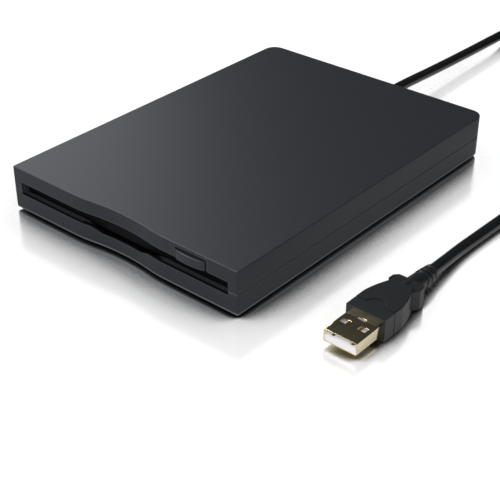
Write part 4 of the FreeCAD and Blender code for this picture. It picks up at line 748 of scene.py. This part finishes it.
# ---- Head carriage: moulded in glass-filled resin, with the arm hinged on its pin.
# The short glass fibres give it a dry, faintly mottled charcoal skin.
filled_resin, shader = new_finish("glass_filled_resin", "#2b2d30", 0.55)
fibres = grain(filled_resin, shader, 0.6, 0.01, 0.45, 0.65, drawn=(1.0, 0.25, 1.0))
two_shades(filled_resin, shader, fibres.outputs["Fac"], "#232528", "#3a3c40")
wear(filled_resin, "head_carriage")

# the two sliders are ceramic, ground and lapped; the ground flanks stay matt, the faces shine
head_ceramic, shader = new_finish("lapped_ceramic", "#4a463f", 0.12)
lapping = grain(head_ceramic, shader, 0.3, 0.001, 0.06, 0.2)
two_shades(head_ceramic, shader, lapping.outputs["Fac"], "#3d3a34", "#5c574e")
wear(head_ceramic, "lower_head", "upper_head")


# ---- Head drive: a stepper motor turns a lead screw, one turn to 3 mm of the carriage's travel.
# The screw's round thread is rolled in steel, so its flanks are burnished bright.
SCREW_X, SCREW_Z = -20.0, 8.1
THREAD_FRONT, THREAD_REAR, THREAD_LEAD = 26.5, 49.0, 3.0
rolled_thread, shader = new_finish("rolled_steel_thread", "#a9acb0", 0.22, 1.0)
grain(rolled_thread, shader, 0.3, 0.001, 0.16, 0.3)
thread = wind_wire(
    "lead_screw_thread", wire_radius=0.45, sides=6, start=(SCREW_X, 26.9, SCREW_Z),
    tilt=(0.0, 0.0, 0.0), offset=(1.0, 0.0, 0.0), axis="Y", turn=2 * math.pi, pitch=THREAD_LEAD,
    turns=7, per_turn=24)
close_ends()
core = start_piece(
    "rolled_lead_screw", bpy.ops.mesh.primitive_cylinder_add, vertices=32, radius=1.0 * MM, depth=27.0 * MM,
    location=(SCREW_X * MM, 38.8 * MM, SCREW_Z * MM), rotation=(math.pi / 2, 0.0, 0.0))
pick("faces", lambda middle, along: abs(along.y) > 0.9)
bpy.ops.mesh.bevel(offset=0.2 * MM, segments=2, affect="EDGES")
for thread_end in (THREAD_FRONT, THREAD_REAR):
    cut_through((0.0, thread_end, 0.0), (0.0, 1.0, 0.0))
pick("faces", lambda middle, along: THREAD_FRONT < middle.y < THREAD_REAR)
bpy.ops.mesh.extrude_region_shrink_fatten(TRANSFORM_OT_shrink_fatten={"value": 0.12 * MM})
leave_selected(core, thread)
bpy.ops.object.join()
settle([core], rolled_thread, "screw", "ground_steel", "lead_screw")

# the motor's can is deep-drawn steel, tinned: drawing leaves faint lines along its depth
drawn_can, shader = new_finish("tinned_drawn_steel_can", "#a2a4a6", 0.3, 1.0)
grain(drawn_can, shader, 0.5, 0.004, 0.24, 0.4, drawn=(1.0, 0.08, 1.0))
wear(drawn_can, "stepper_motor")

# the clips that hold the guide rod are moulded in black acetal, waxy and low in friction
black_acetal, shader = new_finish("black_acetal", "#17181a", 0.38)
grain(black_acetal, shader, 0.8, 0.004, 0.32, 0.44)
wear(black_acetal, "rod_clips", "shutter_lever", "switch_bodies")


# ---- Lever spring: a torsion spring of 0.5 mm wire, loose round the lever's post, with one long leg.
# It stands for the spring that turns the lever back, and is oiled as the slide springs are.
LEVER_X, LEVER_Y = 41.0, 31.0
LEVER_COIL_RADIUS, LEVER_COIL_LOW = 2.85, 4.85
LEG_LENGTH, LEG_BEND = 8.3, 0.6
lever_coil = wind_wire(
    "lever_spring_wire", wire_radius=0.25, sides=8, start=(LEVER_X, LEVER_Y, LEVER_COIL_LOW),
    tilt=(0.0, math.pi / 2, 0.0), offset=(0.0, LEVER_COIL_RADIUS, 0.0), axis="Z",
    turn=-2 * math.pi, pitch=0.52, turns=4, per_turn=32)
pick("edges", lambda middle, along: (
    abs(middle.x - LEVER_X) < 0.03 and middle.y > LEVER_Y + 2.4 and middle.z < 5.13))
bpy.ops.mesh.extrude_region_move(TRANSFORM_OT_translate={"value": (-LEG_LENGTH * MM, 0.0, 0.0)})
leg_end = (LEVER_X - LEG_LENGTH, LEVER_Y + LEVER_COIL_RADIUS - LEG_BEND, LEVER_COIL_LOW)
bend_end(4, -math.pi / 3, leg_end, (0.0, 0.0, 1.0))
close_ends()
settle([lever_coil], spring_wire, "housing", "spring_steel", "lever_spring")


# ---- Sensing switches: three plungers of natural acetal that dip in black bodies on the motor board.
# Natural acetal is milk-white and slightly translucent.
natural_acetal, shader = new_finish(
    "natural_acetal", "#e6e5df", 0.35, Subsurface_Weight=0.1, Subsurface_Scale=0.002)
grain(natural_acetal, shader, 0.8, 0.004, 0.3, 0.42)
wear(natural_acetal, "plunger_write_protect", "plunger_density", "plunger_disk_present")


# ---- Main board's parts: three chips in moulded epoxy on gull-wing legs, soldered to the board.
# The epoxy is matt black with a fine mould texture; the legs are copper strip, tinned.
BOARD_TOP = 4.6
chip_epoxy, shader = new_finish("black_moulded_epoxy", "#1b1b1d", 0.6)
grain(chip_epoxy, shader, 0.25, 0.006, 0.5, 0.7)
tinned_strip, shader = new_finish("tinned_copper_strip", "#bfc1c2", 0.28, 1.0)
grain(tinned_strip, shader, 0.2, 0.002, 0.2, 0.36)


def make_chip(name, left, right, front, rear, height, legs_a_side, sides):
    """A moulded body drafted above and below its parting line, and one leg copied round it (mm)."""
    leg_reach, pitch = 1.0, 0.9
    centre = ((left + right) / 2, (front + rear) / 2)
    body_half = ((right - left) / 2 - (leg_reach if sides == 4 else 0.1), (rear - front) / 2 - leg_reach)
    chip = start_piece(
        name, bpy.ops.mesh.primitive_cube_add, size=1.0,
        location=(centre[0] * MM, centre[1] * MM, (BOARD_TOP + (height + 0.1) / 2) * MM),
        scale=(2 * body_half[0] * MM, 2 * body_half[1] * MM, (height - 0.1) * MM))
    cut_through((0.0, 0.0, BOARD_TOP + height * 0.5), (0.0, 0.0, 1.0))
    pick("faces", lambda middle, along: abs(along.z) > 0.9)
    bpy.ops.transform.resize(
        value=(1.0 - 0.15 / body_half[0], 1.0 - 0.15 / body_half[1], 1.0),
        center_override=(centre[0] * MM, centre[1] * MM, BOARD_TOP * MM))
    bpy.ops.mesh.select_all(action="SELECT")
    bpy.ops.mesh.bevel(offset=0.05 * MM, segments=1, affect="EDGES")
    bpy.ops.object.mode_set(mode="OBJECT")
    chip.data.materials.append(chip_epoxy)
    first_leg = centre[0] - (legs_a_side - 1) * pitch / 2
    leg = start_piece(
        name + "_leg", bpy.ops.mesh.primitive_cube_add, size=1.0,
        location=(first_leg * MM, (front + 0.2) * MM, (BOARD_TOP + 0.075) * MM),
        scale=(0.35 * MM, 0.4 * MM, 0.15 * MM))
    pick("faces", lambda middle, along: along.y > 0.9)
    for step in ((0.0, 0.22, height * 0.45), (0.0, 0.5, 0.0)):
        bpy.ops.mesh.extrude_region_move(TRANSFORM_OT_translate={"value": Vector(step) * MM})
    bpy.ops.object.mode_set(mode="OBJECT")
    leg.data.materials.append(tinned_strip)
    legs = [leg]
    for side in range(sides):
        for place_on_side in range(legs_a_side):
            if side or place_on_side:
                row = copy_piece(leg, name + "_leg", (place_on_side * pitch, 0.0, 0.0))
                row.data.transform(
                    Matrix.Translation(Vector((*centre, 0.0)) * MM)
                    @ Matrix.Rotation(side * 2 * math.pi / sides, 4, "Z")
                    @ Matrix.Translation(Vector((-centre[0], -centre[1], 0.0)) * MM))
                legs.append(row)
    leave_selected(chip, *legs)
    bpy.ops.object.join()
    return chip


settle(
    [make_chip(
        "controller_chip", left=-20.5, right=-11.5, front=59.8, rear=68.8, height=1.4,
        legs_a_side=8, sides=4),
     make_chip(
        "memory_chip", left=17.0, right=22.0, front=61.2, rear=65.2, height=1.5,
        legs_a_side=4, sides=2),
     make_chip(
        "driver_chip", left=-34.0, right=-27.0, front=61.2, rear=66.2, height=1.6,
        legs_a_side=7, sides=2)],
    None, "housing", "chip_epoxy", "board_chips")

# three capacitors: extruded aluminium cans, crimped above the base, with a score for venting on top
aluminium_can, shader = new_finish("extruded_aluminium_can", "#c4c6c8", 0.3, 1.0)
grain(aluminium_can, shader, 0.4, 0.003, 0.24, 0.38, drawn=(1.0, 1.0, 0.1))
CAN_X, CAN_Y, CAN_HEIGHT, CANS_APART = 26.5, 64.2, 4.6, 4.4
CRIMP_HEIGHT = 0.95
can = start_piece(
    "capacitor_1", bpy.ops.mesh.primitive_cylinder_add, vertices=40, radius=1.6 * MM,
    depth=CAN_HEIGHT * MM, location=(CAN_X * MM, CAN_Y * MM, (BOARD_TOP + CAN_HEIGHT / 2) * MM))
pick("faces", lambda middle, along: along.z > 0.9)
bpy.ops.mesh.bevel(offset=0.3 * MM, segments=3, affect="EDGES")
for height in (0.7, CRIMP_HEIGHT, 1.2):
    cut_through((0.0, 0.0, BOARD_TOP + height), (0.0, 0.0, 1.0))
pick("edges", lambda middle, along: (
    abs(along.z) < 0.1 and abs(middle.z - BOARD_TOP - CRIMP_HEIGHT) < 0.05))
bpy.ops.transform.resize(
    value=(0.87, 0.87, 1.0), center_override=(CAN_X * MM, CAN_Y * MM, (BOARD_TOP + CRIMP_HEIGHT) * MM))
pick("faces", lambda middle, along: along.z > 0.9)
bpy.ops.mesh.inset(thickness=0.15 * MM)
bpy.ops.mesh.inset(thickness=0.1 * MM, depth=-0.08 * MM)
settle(
    [can] + [copy_piece(can, "capacitor_%d" % (n + 1), (CANS_APART * n, 0.0, 0.0)) for n in (1, 2)],
    aluminium_can, "housing", "capacitor_can", "board_capacitors")

# the crystal: a nickel-plated lid resistance-welded on its flanged base
nickel_lid, shader = new_finish("nickel_plated_lid", "#c2bfb6", 0.2, 1.0)
grain(nickel_lid, shader, 0.6, 0.003, 0.15, 0.28)
lid = start_piece(
    "crystal_lid", bpy.ops.mesh.primitive_cube_add, size=1.0,
    location=(12.5 * MM, 62.7 * MM, (BOARD_TOP + 0.2) * MM), scale=(4.0 * MM, 4.0 * MM, 0.4 * MM))
pick("edges", lambda middle, along: abs(along.z) > 0.9)
bpy.ops.mesh.bevel(offset=0.8 * MM, segments=4, affect="EDGES")
pick("faces", lambda middle, along: along.z > 0.9)
bpy.ops.mesh.inset(thickness=0.35 * MM)
bpy.ops.mesh.extrude_region_move(TRANSFORM_OT_translate={"value": (0.0, 0.0, 2.2 * MM)})
bpy.ops.mesh.bevel(offset=0.25 * MM, segments=2, affect="EDGES")
settle([lid], nickel_lid, "housing", "crystal_steel", "crystal_can")


# ---- Connectors and flat cable: nylon housings, and a film that steps down to its socket.
# The nylon is natural, cream-white and satin. The film is amber polyimide over copper tracks.
natural_nylon, shader = new_finish("natural_nylon", "#e4dfd0", 0.4)
grain(natural_nylon, shader, 0.6, 0.004, 0.34, 0.48)
FLEX_X = -2.5
socket = start_piece(
    "flex_socket", bpy.ops.mesh.primitive_cube_add, size=1.0,
    location=(FLEX_X * MM, 62.2 * MM, (BOARD_TOP + 0.9) * MM), scale=(10.0 * MM, 2.4 * MM, 1.8 * MM))
pick("faces", lambda middle, along: along.y < -0.9)
bpy.ops.mesh.inset(thickness=0.4 * MM)
bpy.ops.mesh.extrude_region_move(TRANSFORM_OT_translate={"value": (0.0, 1.2 * MM, 0.0)})
pick("faces", lambda middle, along: along.z > 0.9 and middle.z > BOARD_TOP + 1.7)
bpy.ops.mesh.inset(thickness=0.3 * MM, depth=-0.15 * MM)
round_rims(socket, 0.08, 50)
settle([socket], natural_nylon, "housing", "connector_nylon", "flex_connector")
wear(natural_nylon, "lead_connector")

polyimide, shader = new_finish("amber_polyimide_film", "#a8661f", 0.25, Coat_Weight=0.3, Coat_Roughness=0.1)
place = add_node(polyimide, "ShaderNodeTexCoord")
film_tracks = add_node(
    polyimide, "ShaderNodeTexWave", {"bands_direction": "X"}, {"Scale": bands_of(0.5)},
    {"Vector": place.outputs["Object"]})
two_shades(polyimide, shader, film_tracks.outputs["Fac"], "#8f5418", "#c58a3c")
relief(polyimide, shader, 0.02, film_tracks.outputs["Fac"])
FILM_WIDTH, FIRST_STRIP, FILM_HEIGHT = 8.0, 0.1, 9.15
FIRST_STRIP_Y = 54.05
first_middle = (FLEX_X * MM, FIRST_STRIP_Y * MM, FILM_HEIGHT * MM)
film = start_piece(
    "folded_flat_cable", bpy.ops.mesh.primitive_plane_add, size=FIRST_STRIP * MM, location=first_middle)
bpy.ops.transform.resize(value=(FILM_WIDTH / FIRST_STRIP, 1.0, 1.0), center_override=first_middle)
pick("edges", lambda middle, along: abs(along.x) > 0.9 and middle.y > FIRST_STRIP_Y)
for straight in (0.9, 1.0, 1.0):
    bpy.ops.mesh.extrude_region_move(TRANSFORM_OT_translate={"value": (0.0, straight * MM, 0.0)})
bend_end(6, math.pi / 2, (0.0, 57.0, 8.15), (1.0, 0.0, 0.0))
bpy.ops.mesh.extrude_region_move(TRANSFORM_OT_translate={"value": (0.0, 0.0, -1.4 * MM)})
bend_end(6, -math.pi / 2, (0.0, 59.0, 6.75), (1.0, 0.0, 0.0))
for straight in (1.0, 1.0):
    bpy.ops.mesh.extrude_region_move(TRANSFORM_OT_translate={"value": (0.0, straight * MM, 0.0)})
bpy.ops.object.mode_set(mode="OBJECT")
thick = film.modifiers.new("thickness", "SOLIDIFY")
thick.thickness, thick.offset = 0.2 * MM, 0.0
bpy.ops.object.modifier_apply(modifier="thickness")
settle([film], polyimide, None, "flex_film", "head_flex")
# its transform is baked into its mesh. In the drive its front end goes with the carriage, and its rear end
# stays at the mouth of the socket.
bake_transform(film)


# ---- Cord grip and plug grip: soft black PVC moulded over the lead's two ends.
# The mould is sand-blasted, so the grips are a little duller and greyer than the jacket.
wear(cord_jacket, "inner_lead")
moulded_grip, shader = new_finish("moulded_PVC_grip", "#17181a", 0.36)
grain(moulded_grip, shader, 0.5, 0.005, 0.33, 0.43)
# painted highlights on the grips' edges
paint_edge_highlight(moulded_grip, shader, "#17181a", "#3c3d40", 0.35)
wear(moulded_grip, "cord_grip", "plug_body")


# ---- Plug shell: brass strip 0.3 mm thick, punched, folded into a box whose seam is underneath,
# and gold-plated. The plate is warm and mirror-like; the cut rims catch the light.
PLUG_X = 85.1
SHELL_LOW, SHELL_HIGH = Vector((79.1, -63.9, 1.75)), Vector((91.1, -46.4, 6.25))
gold_plate, shader = new_finish("gold_plated_brass", "#f8ecc8", 0.11, 1.0)
grain(gold_plate, shader, 0.6, 0.0006, 0.08, 0.15, drawn=(1.0, 0.3, 1.0))
shell = start_piece(
    "plug_shell_folded", bpy.ops.mesh.primitive_cube_add, size=1.0,
    location=(SHELL_LOW + SHELL_HIGH) / 2 * MM, scale=(SHELL_HIGH - SHELL_LOW) * MM)
pick("edges", lambda middle, along: abs(along.y) > 0.9)
bpy.ops.mesh.bevel(offset=0.5 * MM, segments=5, affect="EDGES")
pick("faces", lambda middle, along: abs(along.y) > 0.9)
bpy.ops.mesh.delete(type="ONLY_FACE")
# two windows above and two below for the socket's springs, a slot above, and the seam underneath;
# each goes from one side to the other, from front to rear, in the wall above (1) or below (-1)
SPRING_WINDOW, SPRING_WINDOW_FRONT, SPRING_WINDOW_REAR = (1.65, 4.6), -58.1, -56.0
SLOT_HALF, SLOT_FRONT, SLOT_REAR = 1.5, -53.6, -52.7
SEAM_HALF, PAST_THE_ENDS = 0.04, 1.0
windows = []
for side in (-1, 1):
    for way in (-1, 1):
        near, far = (PLUG_X + side * reach for reach in SPRING_WINDOW)
        windows.append((near, far, SPRING_WINDOW_FRONT, SPRING_WINDOW_REAR, way))
windows.append((PLUG_X - SLOT_HALF, PLUG_X + SLOT_HALF, SLOT_FRONT, SLOT_REAR, 1))
windows.append((
    PLUG_X - SEAM_HALF, PLUG_X + SEAM_HALF, SHELL_LOW.y - PAST_THE_ENDS, SHELL_HIGH.y + PAST_THE_ENDS, -1))
for side_a, side_b, front, rear, way in windows:
    cuts = [((x, 0.0, 0.0), (1.0, 0.0, 0.0)) for x in (side_a, side_b)]
    cuts += [((0.0, y, 0.0), (0.0, 1.0, 0.0)) for y in (front, rear)]
    for through, across in cuts:
        pick("faces", lambda middle, along: along.z * way > 0.9)
        bpy.ops.mesh.bisect(plane_co=Vector(through) * MM, plane_no=across)
for side_a, side_b, front, rear, way in windows:
    left, right = min(side_a, side_b), max(side_a, side_b)
    pick("faces", lambda middle, along: (
        along.z * way > 0.9 and left < middle.x < right and front < middle.y < rear))
    bpy.ops.mesh.delete(type="FACE")
bpy.ops.object.mode_set(mode="OBJECT")
sheet = shell.modifiers.new("sheet", "SOLIDIFY")
sheet.thickness, sheet.offset, sheet.use_even_offset = 0.3 * MM, -1.0, True
bpy.ops.object.modifier_apply(modifier="sheet")
round_rims(shell, 0.07, 60)
settle([shell], gold_plate, "housing", "gold_shell", "plug_shell")

# the tongue is moulded in white PBT; the four contacts in it are gold-plated too
white_pbt, shader = new_finish("white_PBT", "#dcdce0", 0.4)
grain(white_pbt, shader, 0.5, 0.003, 0.34, 0.46)
wear(white_pbt, "plug_insert")
contact_gold, shader = new_finish("gold_plated_contact", "#e0bf6a", 0.2, 1.0)
grain(contact_gold, shader, 0.3, 0.001, 0.14, 0.28, drawn=(1.0, 0.2, 1.0))
wear(contact_gold, "plug_contacts")
